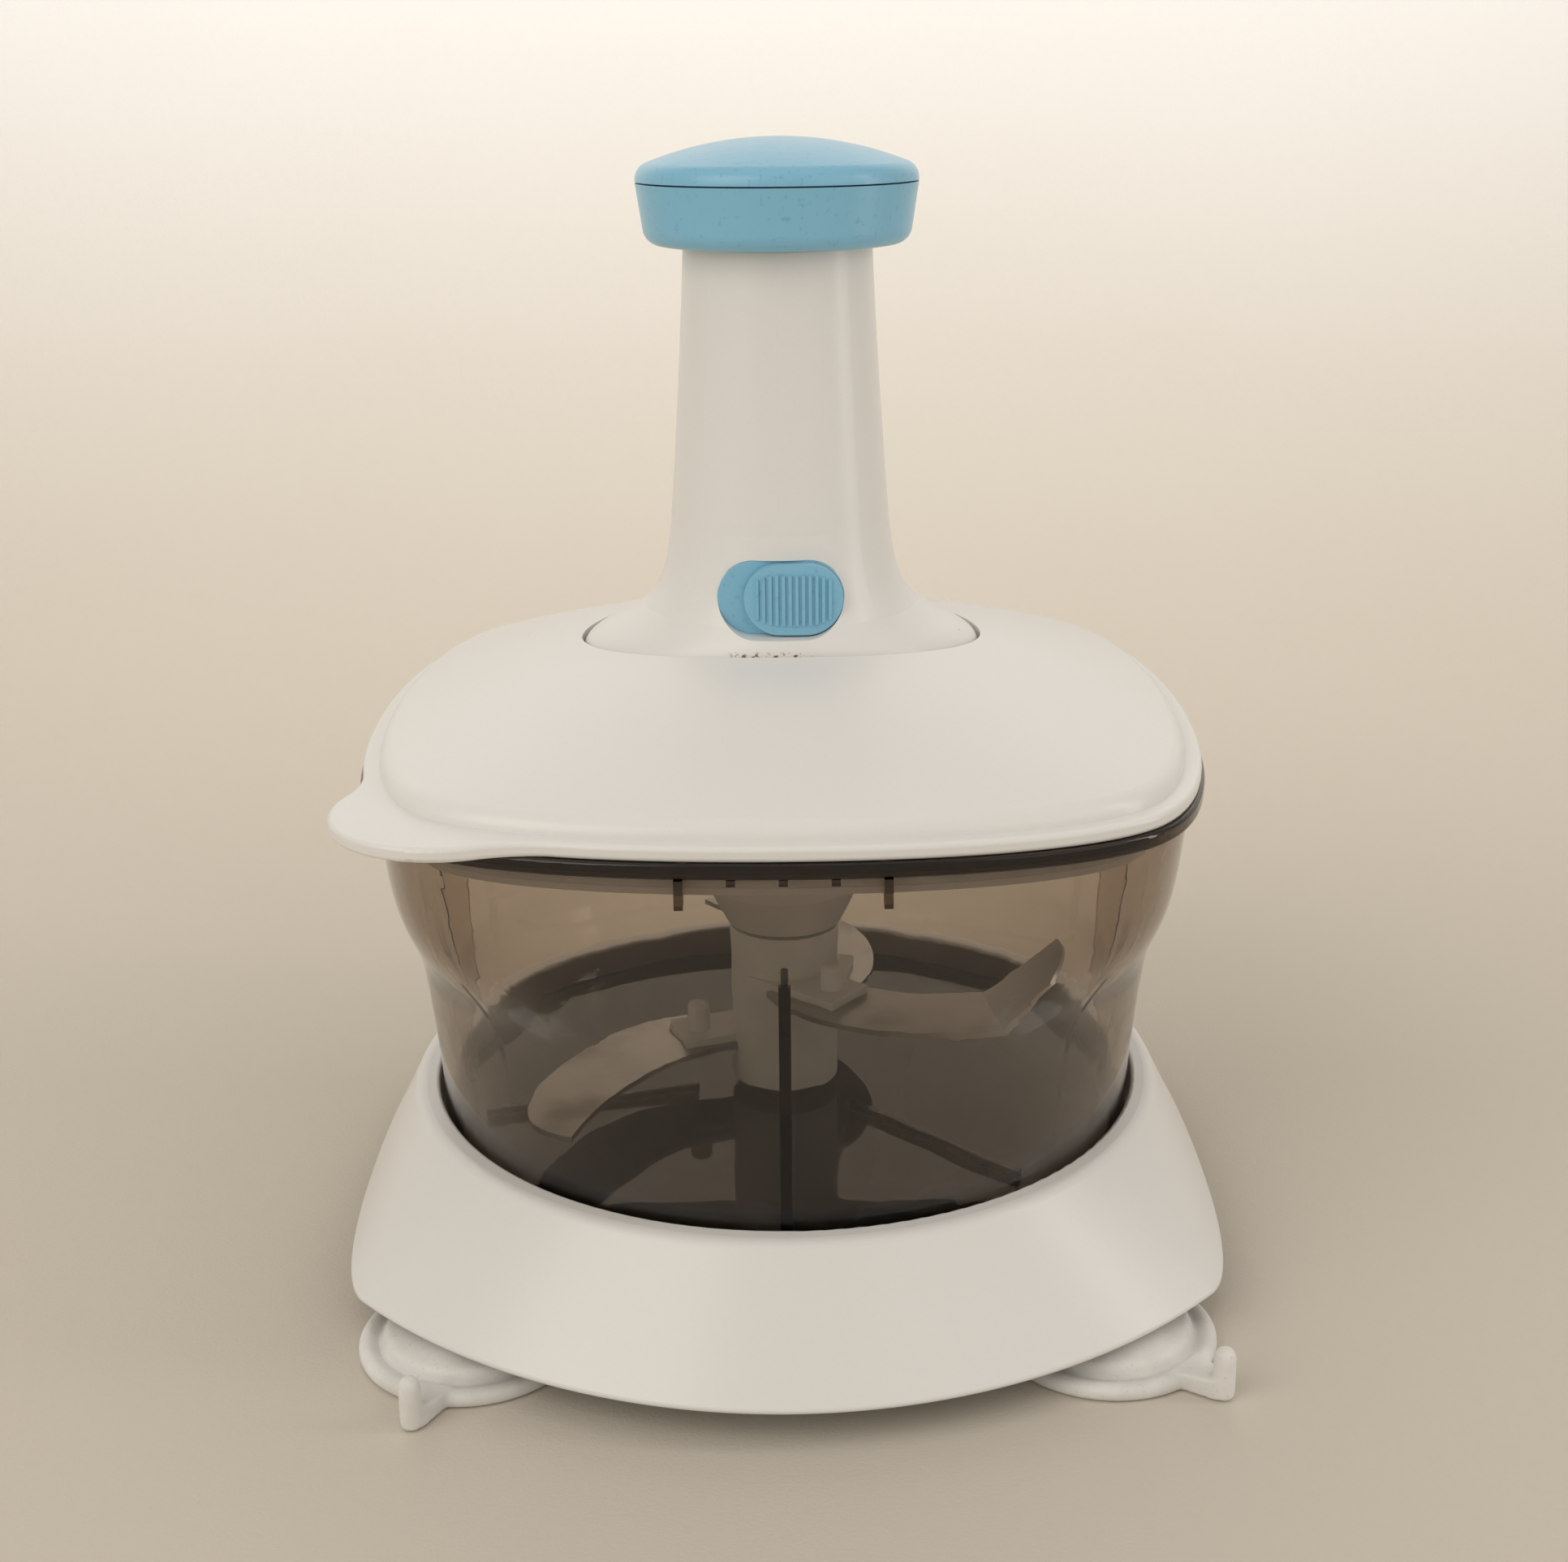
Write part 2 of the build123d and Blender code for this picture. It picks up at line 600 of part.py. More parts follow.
def foot_prism(border, bottom):
    """Oval prism of the column's foot with a border all round, up through the crown."""
    wire = outline(bottom, FOOT_HALF_X + border, FOOT_HALF_Y + border, ROUND_SHARE, ROUND_SHARE)
    return prism(wire, CROWN_RISE)


def lid():
    """Lid shell with flange, pull tab, crowned top, inner skirt and the column's seat."""
    crown = crown_outer()
    skirt_inner = SKIRT_HALF - SKIRT_RING
    skirt_bottom = RIM_TOP - SKIRT_DEPTH
    skirt = square_prism(SKIRT_HALF, skirt_bottom, FLANGE_TOP)
    dome_bottom = FLANGE_TOP + DOME_PROFILE_SHARES[0][0] * CROWN_RISE - LID_WALL
    brim = square_outline(dome_bottom, skirt_inner, SQUARE_CORNER_SHARE)
    vault = [crown_outline(row, LID_WALL, LID_WALL) for row in DOME_PROFILE_SHARES[1:]]
    throat = prism(brim, skirt_bottom - OVERRUN - dome_bottom)
    cavity = Solid.make_loft([brim, *vault]) + throat
    shell = flange() + crown + skirt - cavity
    shell = shell + (foot_prism(PAD_BORDER + SEAM_GAP, FOOT_SEAT - PAD_THICKNESS) & crown)
    hole_top = COVER_TOP + SCREW_LENGTH - COVER_THICKNESS
    for x, y in cover_screw_places():
        post = disc(SCREW_HEAD_RADIUS + SCREW_RADIUS, COVER_TOP, CROWN_TOP, x, y) & crown
        shell = shell + post - disc(SCREW_RADIUS, COVER_TOP - OVERRUN, hole_top, x, y)
    shell = shell - foot_prism(SEAM_GAP, FOOT_SEAT)
    shell = shell - disc(BUSH_RADIUS, RIM_TOP, CROWN_TOP)
    for x, y in column_screw_places():
        shell = shell - disc(SCREW_RADIUS, RIM_TOP, CROWN_TOP, x, y)
    return shell - gasket_ring()


def gasket_ring():
    """Soft ring in a groove round the lid's inner skirt."""
    bottom = RIM_TOP - SKIRT_DEPTH + GASKET_LIFT
    inner = SKIRT_HALF - GASKET_SEAT
    ring = square_prism(inner + GASKET_WIDTH, bottom, bottom + GASKET_HEIGHT)
    hole = square_prism(inner, bottom - OVERRUN, bottom + GASKET_HEIGHT + OVERRUN)
    return ring - hole


def cover_screw_places():
    """Places of the screws that hold the inner cover."""
    return [(sx * COVER_SCREW_X, sy * COVER_SCREW_X) for sx in (-1, 1) for sy in (-1, 1)]


def column_screw_places():
    """Places of the screws that hold the column on the lid."""
    return [(sx * COLUMN_SCREW_X, sy * COLUMN_SCREW_Y) for sx in (-1, 1) for sy in (-1, 1)]


def inner_cover():
    """Plate that closes the lid from below, with the funnel round the drive shaft."""
    half = SKIRT_HALF - SKIRT_RING - COVER_GAP
    plate = square_prism(half, COVER_BOTTOM, COVER_TOP)
    outside = [
        (0, FUNNEL_END),
        (FUNNEL_END_RADIUS, FUNNEL_END),
        (FUNNEL_NECK_RADIUS, FUNNEL_NECK_LEVEL),
        (FUNNEL_TOP_RADIUS, COVER_BOTTOM),
        (0, COVER_BOTTOM),
    ]
    inside = [
        (0, FUNNEL_END - OVERRUN),
        (FUNNEL_END_RADIUS - FUNNEL_WALL, FUNNEL_END - OVERRUN),
        (FUNNEL_END_RADIUS - FUNNEL_WALL, FUNNEL_END),
        (FUNNEL_NECK_RADIUS - FUNNEL_WALL, FUNNEL_NECK_LEVEL),
        (FUNNEL_TOP_RADIUS - FUNNEL_WALL, COVER_TOP + OVERRUN),
        (0, COVER_TOP + OVERRUN),
    ]
    cover = plate + turned(outside) - turned(inside)
    for x, y in cover_screw_places():
        cover = cover - disc(SCREW_RADIUS, COVER_BOTTOM - OVERRUN, COVER_TOP + OVERRUN, x, y)
    return cover


def turned(points):
    """A solid of revolution about the upright axis from radius and height points."""
    return revolve(make_face(Plane.XZ * Polyline(*points, close=True)), Axis.Z)


def screw(x, y, seat, up):
    """Pan-head screw whose head bears on a seat; up is +1 when its shank points up."""
    crest = seat - up * SCREW_HEAD
    end = seat + up * SCREW_LENGTH
    head = disc(SCREW_HEAD_RADIUS, min(seat, crest), max(seat, crest), x, y)
    shank = disc(SCREW_RADIUS, min(seat, end), max(seat, end), x, y)
    return head + shank


def flare_outline(row):
    """One level of the column's flared foot, oval below and round above."""
    height_share, x_share, y_share = row
    level = FOOT_SEAT + height_share * FLARE_HEIGHT
    half_x = FLARE_TOP_RADIUS + x_share * (FOOT_HALF_X - FLARE_TOP_RADIUS)
    half_y = FLARE_TOP_RADIUS + y_share * (FOOT_HALF_Y - FLARE_TOP_RADIUS)
    return outline(level, half_x, half_y, ROUND_SHARE, ROUND_SHARE)


def shaft_outline(row):
    """One level of the column's tapered upper part."""
    height_share, spread_share = row
    radius = COLUMN_TOP_RADIUS + spread_share * (FLARE_TOP_RADIUS - COLUMN_TOP_RADIUS)
    return square_outline(FLARE_TOP + height_share * SHAFT_HEIGHT, radius, ROUND_SHARE)


def stadium(width, height, front, back):
    """Upright stadium plate facing the front, centred on the switch."""
    shape = SlotOverall(width, height)
    plate = extrude(Plane.XZ * shape, front - back)
    return Pos(0, -back, LOCK_LEVEL) * plate


def column_housing():
    """Column with the tube's bore, the guide at its top and the pocket of the lock."""
    flare = [flare_outline(row) for row in FLARE_PROFILE_SHARES]
    waist = len(flare) // 2
    foot = Solid.make_loft(flare[:waist + 1])
    neck = Solid.make_loft(flare[waist:])
    shaft = Solid.make_loft([shaft_outline(row) for row in SHAFT_PROFILE_SHARES])
    column = foot + neck + shaft
    column = column - disc(BORE_RADIUS, FOOT_SEAT - OVERRUN, GUIDE_BOTTOM)
    column = column - disc(TUBE_RADIUS + SLIDE_GAP, GUIDE_BOTTOM - OVERRUN, COLUMN_TOP + OVERRUN)
    column = column - stadium(LOCK_WIDTH, LOCK_HEIGHT, FOOT_HALF_X, LOCK_SEAT)
    column = column - lock_slot(BORE_RADIUS - LOOSE_GAP, LOCK_SEAT + OVERRUN)
    hole_top = FOOT_SEAT + SCREW_LENGTH - PAD_THICKNESS
    for x, y in column_screw_places():
        column = column - disc(SCREW_RADIUS, FOOT_SEAT - OVERRUN, hole_top, x, y)
    return column


def lock_slot(back, front):
    """Room for the lock's stem and catch over their whole travel."""
    half = (LOCK_TRAVEL + LOCK_STEM_WIDTH) / 2 + SLIDE_GAP
    low = catch_level() - SLIDE_GAP
    high = low + LOCK_STEM_HEIGHT + 2 * SLIDE_GAP
    return block(-half, half, -front, -back, low, high)


def catch_level():
    """Underside of the catch, just above the tube's flange."""
    return TUBE_BOTTOM + TUBE_FLANGE_HEIGHT + SLIDE_GAP


def lock_insert():
    """Flat insert in the column's pocket that the switch slides on."""
    plate = stadium(LOCK_WIDTH - LOCK_FIT, LOCK_HEIGHT - LOCK_FIT, LOCK_SEAT + LOCK_PLATE, LOCK_SEAT)
    return plate - lock_slot(BORE_RADIUS, LOCK_SEAT + LOCK_PLATE + OVERRUN)


def lock_slider():
    """Ribbed thumb pad with the stem and catch behind it, at the right end of its travel."""
    rest = LOCK_TRAVEL / 2
    width = LOCK_WIDTH - LOCK_TRAVEL - PAD_MARGIN
    back = LOCK_SEAT + LOCK_PLATE + SLIDE_GAP
    pad = Pos(rest, 0, 0) * stadium(width, LOCK_HEIGHT - 2 * PAD_MARGIN, PAD_FRONT, back)
    low, high = LOCK_LEVEL - LOCK_HEIGHT, LOCK_LEVEL + LOCK_HEIGHT
    pad = pad & disc(PAD_CROWN_RADIUS, low, high, rest, PAD_CROWN_RADIUS - PAD_FRONT)
    for index in range(RIB_COUNT):
        pad = pad + lock_rib(index)
    half = LOCK_STEM_WIDTH / 2
    low = catch_level()
    top = low + LOCK_STEM_HEIGHT
    stem = block(rest - half, rest + half, -back - LOCK_PLATE, -BORE_RADIUS, low, top)
    half = CATCH_WIDTH / 2
    catch = block(rest - half, rest + half, -BORE_RADIUS, -CATCH_REACH, low, low + CATCH_HEIGHT)
    return pad + stem + catch


def lock_rib(index):
    """One upright rib on the thumb pad, shorter near the pad's round ends."""
    rest = LOCK_TRAVEL / 2
    offset = (index - (RIB_COUNT - 1) / 2) * RIB_PITCH
    reach = LOCK_HEIGHT / 2
    straight = (LOCK_WIDTH - LOCK_TRAVEL) / 2 - reach
    beyond = max(abs(offset) - straight, 0)
    length = RIB_LONG_SHARE * 2 * math.sqrt(reach ** 2 - beyond ** 2)
    sag = PAD_CROWN_RADIUS - math.sqrt(PAD_CROWN_RADIUS ** 2 - offset ** 2)
    front = PAD_FRONT - sag + RIB_PROUD
    half = RIB_WIDTH / 2
    x = rest + offset
    low = LOCK_LEVEL - length / 2
    return block(x - half, x + half, -front, -front + 2 * RIB_PROUD, low, low + length)


def plunger_tube():
    """Tube under the knob with a stop flange, notched for the lock's catch, and a closed top."""
    tube = disc(TUBE_RADIUS, TUBE_BOTTOM, TUBE_TOP)
    tube = tube + disc(TUBE_FLANGE_RADIUS, TUBE_BOTTOM, TUBE_BOTTOM + TUBE_FLANGE_HEIGHT)
    tube = tube - disc(TUBE_RADIUS - TUBE_WALL, TUBE_BOTTOM - OVERRUN, TUBE_TOP - TUBE_CAP)
    middle = LOCK_TRAVEL / 2
    half = FLANGE_NOTCH / 2
    notch = block(
        middle - half,
        middle + half,
        -BORE_RADIUS,
        -CATCH_REACH + SLIDE_GAP,
        TUBE_BOTTOM - OVERRUN,
        TUBE_BOTTOM + TUBE_FLANGE_HEIGHT + OVERRUN,
    )
    tube = tube - notch
    for x, y in knob_screw_places():
        tube = tube - disc(SCREW_RADIUS, TUBE_TOP - SCREW_LENGTH, TUBE_TOP + OVERRUN, x, y)
    return tube


def knob_screw_places():
    """Places of the screws that hold the knob on its tube."""
    return [polar(KNOB_SCREW_RADIUS, angle) for angle in (90, 210, 330)]


def polar(radius, angle):
    """A point at a radius and an angle in degrees."""
    return (radius * math.cos(math.radians(angle)), radius * math.sin(math.radians(angle)))


def drive_nut():
    """Nut in the tube's lower end with two lugs that ride in the spindle's grooves."""
    bore = SPINDLE_RADIUS + NUT_GAP
    nut = disc(TUBE_RADIUS - TUBE_WALL, TUBE_BOTTOM, TUBE_BOTTOM + NUT_HEIGHT)
    nut = nut - disc(bore, TUBE_BOTTOM - OVERRUN, TUBE_BOTTOM + NUT_HEIGHT + OVERRUN)
    tip = SPINDLE_RADIUS - LUG_DEPTH
    lug = Cylinder(LUG_RADIUS, bore - tip + NUT_GAP, align=(Align.CENTER, Align.CENTER, Align.MIN))
    for start in range(GROOVE_STARTS):
        turn = Rot(0, 0, 360 / GROOVE_STARTS * start)
        nut = nut + turn * Pos(tip, 0, LUG_LEVEL) * Rot(0, 90, 0) * lug
    return nut


def knob_body():
    """Lower part of the knob, a dish whose floor is screwed on the tube."""
    floor = TUBE_TOP + KNOB_WALL
    top = KNOB_SEAM_LEVEL - KNOB_SEAM
    seam_inner = KNOB_SEAM_RADIUS - KNOB_WALL - CAP_LIP_WIDTH
    body = turned([
        (TUBE_RADIUS + SLIDE_GAP, KNOB_BOTTOM),
        (KNOB_UNDER_RADIUS, KNOB_BOTTOM),
        (KNOB_SEAM_RADIUS, top),
        (seam_inner, top),
        (seam_inner, floor),
        (0, floor),
        (0, TUBE_TOP),
        (TUBE_RADIUS + SLIDE_GAP, TUBE_TOP),
    ])
    under = body.edges().filter_by(GeomType.CIRCLE).group_by(Axis.Z)[0].sort_by(SortBy.RADIUS)[-1]
    body = fillet(under, KNOB_EDGE_ROUND)
    for x, y in knob_screw_places():
        body = body - disc(SCREW_RADIUS, TUBE_TOP - OVERRUN, floor + OVERRUN, x, y)
    return body


def knob_cap():
    """Domed cap that closes the knob, with a lip inside the lower part."""
    lip = KNOB_SEAM_RADIUS - KNOB_WALL - CAP_LIP_WIDTH - RUNNING_FIT
    inner = lip - CAP_LIP_WIDTH
    side_top = KNOB_SEAM_LEVEL + CAP_SIDE_HEIGHT
    lip_bottom = KNOB_SEAM_LEVEL - CAP_LIP_HEIGHT
    edges = [
        Line((lip, KNOB_SEAM_LEVEL), (KNOB_SEAM_RADIUS, KNOB_SEAM_LEVEL)),
        Line((KNOB_SEAM_RADIUS, KNOB_SEAM_LEVEL), (KNOB_SEAM_RADIUS, side_top)),
        TangentArc((0, KNOB_TOP), (KNOB_SEAM_RADIUS, side_top), tangent=(1, 0)),
        Line((0, KNOB_TOP), (0, KNOB_TOP - KNOB_WALL)),
        TangentArc((0, KNOB_TOP - KNOB_WALL), (inner, side_top), tangent=(1, 0)),
        Line((inner, side_top), (inner, lip_bottom)),
        Line((inner, lip_bottom), (lip, lip_bottom)),
        Line((lip, lip_bottom), (lip, KNOB_SEAM_LEVEL)),
    ]
    profile = make_face(edges)
    shoulder = profile.vertices().sort_by_distance((KNOB_SEAM_RADIUS, side_top))[0]
    profile = fillet(shoulder, CAP_SHOULDER_ROUND)
    return revolve(Plane.XZ * profile, Axis.Z)


def drive_spindle():
    """Spindle with two steep left-hand grooves above and a plain shaft below."""
    shaft_end = FUNNEL_END + LOOSE_GAP
    spindle = disc(SPINDLE_RADIUS, SHOULDER_LEVEL, SPINDLE_TOP)
    spindle = spindle + disc(SHAFT_RADIUS, shaft_end, SHOULDER_LEVEL)
    start_level = LUG_LEVEL - SPINDLE_TAIL
    height = SPINDLE_TOP + OVERRUN - start_level
    path = Helix(LEAD, height, SPINDLE_RADIUS, lefthand=True)
    section = Plane(origin=path @ 0, z_dir=path % 0) * Circle(GROOVE_RADIUS)
    groove = sweep(section, path=path, is_frenet=True)
    turn_to_lug = 360 * SPINDLE_TAIL / LEAD
    for start in range(GROOVE_STARTS):
        turn = Rot(0, 0, 360 / GROOVE_STARTS * start + turn_to_lug)
        spindle = spindle - turn * Pos(0, 0, start_level) * groove
    return spindle


def spindle_bearing():
    """Flanged bush in the lid's seat that carries the spindle."""
    bush = disc(BUSH_RADIUS, FOOT_SEAT - PAD_THICKNESS, FOOT_SEAT)
    bush = bush + disc(BUSH_FLANGE_RADIUS, FOOT_SEAT, FOOT_SEAT + BUSH_FLANGE)
    return bush - disc(SHAFT_RADIUS + RUNNING_FIT, RIM_TOP, CROWN_TOP)


def spindle_clip():
    """Retaining clip on the shaft under the bush."""
    top = FOOT_SEAT - PAD_THICKNESS - SEAT_GAP
    ring = disc(CLIP_RADIUS, top - CLIP_THICKNESS, top)
    return ring - disc(SHAFT_RADIUS, top - CLIP_THICKNESS - OVERRUN, top + OVERRUN)


def drive_dog():
    """Square dog on the shaft's end that turns the hub."""
    half = DOG_SIDE / 2
    shaft_end = FUNNEL_END + LOOSE_GAP
    dog = block(-half, half, -half, half, DOG_BOTTOM, shaft_end)
    dog = dog + disc(DOG_RADIUS, HUB_TOP + SEAT_GAP, shaft_end + DOG_GRIP)
    return dog - disc(SHAFT_RADIUS, shaft_end, shaft_end + DOG_GRIP + OVERRUN)


def spring_point(turn, bottom, pitch):
    """A point of the spring's centre line and its direction there."""
    x, y = polar(SPRING_RADIUS, 360 * turn)
    along = Vector(-y, x, pitch / (2 * math.pi))
    return Vector(x, y, bottom + pitch * turn), along.normalized()


def biarc(first, second):
    """Two tangent arcs that join two points with given directions."""
    (p, u), (q, v) = first, second
    span = q - p
    total = u + v
    a = 2 * (u.dot(v) - 1)
    b = -2 * span.dot(total)
    c = span.dot(span)
    reach = (-b - math.sqrt(b * b - 4 * a * c)) / (2 * a)
    middle = (p + u * reach + q - v * reach) * 0.5
    direction = (q - v * reach - p - u * reach).normalized()
    return [
        Edge.make_tangent_arc(p, u, middle),
        Edge.make_tangent_arc(middle, direction, q),
    ]


def return_spring():
    """Compressed coil spring that lifts the tube, one unbroken wire."""
    bottom = FOOT_SEAT + SPRING_WIRE / 2 + SEAT_GAP
    top = TUBE_BOTTOM - SPRING_WIRE / 2 - SEAT_GAP
    pitch = (top - bottom) / SPRING_TURNS
    quarters = [spring_point(step / 4, bottom, pitch) for step in range(4 * SPRING_TURNS + 1)]
    arcs = []
    for first, second in zip(quarters, quarters[1:]):
        arcs += biarc(first, second)
    path = Wire(arcs)
    least = min(
        (first[0] - second[0]).length
        for index, first in enumerate(quarters)
        for second in quarters[index + 3:]
    )
    print("return_spring least gap to itself, mm:", round(least - SPRING_WIRE, 3))
    section = Plane(origin=quarters[0][0], z_dir=quarters[0][1]) * Circle(SPRING_WIRE / 2)
    return sweep(section, path=path)


def nodes():
    """Every piece by name."""
    pieces = {
        "base_shell": base_shell(),
        "bowl": bowl(),
        "blade_pivot_pin": pivot_pin(),
        "blade_hub": blade_hub(),
        "lid": lid(),
        "lid_gasket": gasket_ring(),
        "lid_inner_cover": inner_cover(),
        "column_housing": column_housing(),
        "lock_insert": lock_insert(),
        "lock_slider": lock_slider(),
        "plunger_tube": plunger_tube(),
        "drive_nut": drive_nut(),
        "knob_body": knob_body(),
        "knob_cap": knob_cap(),
        "drive_spindle": drive_spindle(),
        "spindle_bearing": spindle_bearing(),
        "spindle_clip": spindle_clip(),
        "drive_dog": drive_dog(),
        "return_spring": return_spring(),
    }
    for name in cup_places():
        pieces["suction_cup_" + name] = suction_cup(name)
    for index, name in enumerate(BLADE_NAMES):
        pieces[name] = blade(index)
    pad_bottom = FOOT_SEAT - PAD_THICKNESS
    knob_floor = TUBE_TOP + KNOB_WALL
    pieces["column_screws"] = Compound([screw(x, y, pad_bottom, 1) for x, y in column_screw_places()])
    pieces["cover_screws"] = Compound([screw(x, y, COVER_BOTTOM, 1) for x, y in cover_screw_places()])
    pieces["knob_screws"] = Compound([screw(x, y, knob_floor, -1) for x, y in knob_screw_places()])
    return pieces


os.makedirs("parts", exist_ok=True)
for node, solid in nodes().items():
    export_step(solid, "parts/" + node + ".step")
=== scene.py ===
# %% [markdown]
# A hand-press food chopper: a palm knob on a column, a white lid, a smoked bowl with sickle blades,
# and a white base on four silicone suction cups. Its hard pieces come in as a fixed frame with
# exact sizes. This lesson gives them their finishes, models the soft pieces, and sets up the
# studio.

# %% Load the frame
import json
import math

import bpy
from mathutils import Euler, Matrix, Vector


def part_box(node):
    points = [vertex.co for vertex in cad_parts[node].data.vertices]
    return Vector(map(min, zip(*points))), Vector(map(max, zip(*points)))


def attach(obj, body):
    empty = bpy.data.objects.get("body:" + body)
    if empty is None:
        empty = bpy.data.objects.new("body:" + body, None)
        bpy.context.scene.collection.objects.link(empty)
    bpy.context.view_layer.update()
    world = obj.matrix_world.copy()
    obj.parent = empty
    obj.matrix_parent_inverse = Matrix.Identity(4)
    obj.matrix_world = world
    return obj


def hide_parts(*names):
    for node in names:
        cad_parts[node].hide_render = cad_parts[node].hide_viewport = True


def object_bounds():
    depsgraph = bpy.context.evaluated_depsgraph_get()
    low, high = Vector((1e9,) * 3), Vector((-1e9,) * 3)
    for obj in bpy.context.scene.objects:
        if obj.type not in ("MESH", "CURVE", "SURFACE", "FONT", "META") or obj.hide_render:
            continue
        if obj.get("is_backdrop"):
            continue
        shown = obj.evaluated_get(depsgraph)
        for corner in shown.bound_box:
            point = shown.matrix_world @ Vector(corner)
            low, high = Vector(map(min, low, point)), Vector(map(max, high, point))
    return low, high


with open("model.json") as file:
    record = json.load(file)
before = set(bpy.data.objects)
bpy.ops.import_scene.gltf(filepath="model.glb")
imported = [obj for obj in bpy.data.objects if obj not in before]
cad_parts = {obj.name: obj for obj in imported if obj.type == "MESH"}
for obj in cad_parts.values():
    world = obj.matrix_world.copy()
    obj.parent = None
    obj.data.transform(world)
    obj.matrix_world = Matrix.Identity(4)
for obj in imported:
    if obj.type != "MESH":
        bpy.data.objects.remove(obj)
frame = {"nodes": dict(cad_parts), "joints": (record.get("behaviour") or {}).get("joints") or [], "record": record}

FRAME_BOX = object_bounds()
MM = 0.001
nodes = frame["nodes"]
joints = {joint["name"]: joint for joint in frame["joints"]}
print("nodes in the frame:", len(nodes), "joints:", len(joints))

# %% [markdown]
# The camera comes first, because every later choice is judged through it. Its place and tilt were
# fitted to the outlines of the base, bowl and lid, so the lens is worked out from the focal length
# in pixels of the picture.

# %% Camera
PICTURE_WIDTH = 1932
FOCAL_PIXELS = 2600
CAMERA_PLACE = (0.00028, -0.4270, 0.2398)
CAMERA_PITCH = 0.3215
CAMERA_ROLL = -0.0095

camera_data = bpy.data.cameras.new("camera")
camera_data.sensor_fit = "HORIZONTAL"
camera_data.lens = FOCAL_PIXELS / PICTURE_WIDTH * camera_data.sensor_width
camera = bpy.data.objects.new("camera", camera_data)
bpy.context.scene.collection.objects.link(camera)
camera.location = CAMERA_PLACE
pitch = Euler((math.pi / 2 - CAMERA_PITCH, 0, 0)).to_matrix()
roll = Euler((0, 0, CAMERA_ROLL)).to_matrix()
camera.rotation_euler = (pitch @ roll).to_euler()
bpy.context.scene.camera = camera
print("lens in mm:", round(camera_data.lens, 2))

# %% [markdown]
# Shader maths reads best as plain sums and products. A small class wraps an output socket, and each
# operator adds the Math node that it needs. Masks are such numbers too, from 0 to 1: a product
# keeps what two masks share, and the bar joins them.


# %% Numbers that vary
class Field:
    """A number that varies over a surface."""

    def __init__(self, finish, socket):
        self.finish = finish
        self.socket = socket

    def math(self, operation, *others):
        values = dict(enumerate((self, *others)))
        return self.finish.node("ShaderNodeMath", {"operation": operation}, values)

    def __add__(self, other):
        return self.math("ADD", other)

    def __sub__(self, other):
        return self.math("SUBTRACT", other)

    def __rsub__(self, other):
        return (self * -1) + other

    def __mul__(self, other):
        return self.math("MULTIPLY", other)

    def __or__(self, other):
        return self.math("MAXIMUM", other)

    def __abs__(self):
        return self.math("ABSOLUTE")

    def step(self, low, high):
        """A soft step from 0 at low to 1 at high."""
        settings = {"interpolation_type": "SMOOTHSTEP"}
        values = {"Value": self, "From Min": low, "From Max": high}
        return self.finish.node("ShaderNodeMapRange", settings, values)

    def above(self, level, edge):
        """A mask of what lies above a level, with a soft edge."""
        return self.step(level, level + edge)

    def below(self, level, edge):
        """A mask of what lies below a level, with a soft edge."""
        return 1 - self.above(level, edge)

    def between(self, low, high):
        """Goes from low to high as the number goes from 0 to 1."""
        return self * (high - low) + low


print("shader numbers:", Field.__name__)

# %% [markdown]
# A second class holds one finish, which is a material with its Principled shader, and makes every
# node in one way. Patterns take the place on the piece, in metres, so a size in millimetres means
# the same on every piece.

# %% Finishes
SPECK_CORE_SHARE = 0.6
SPECK_CUT = 0.01
MIX_FIRST, MIX_SECOND, MIX_RESULT = 6, 7, 2


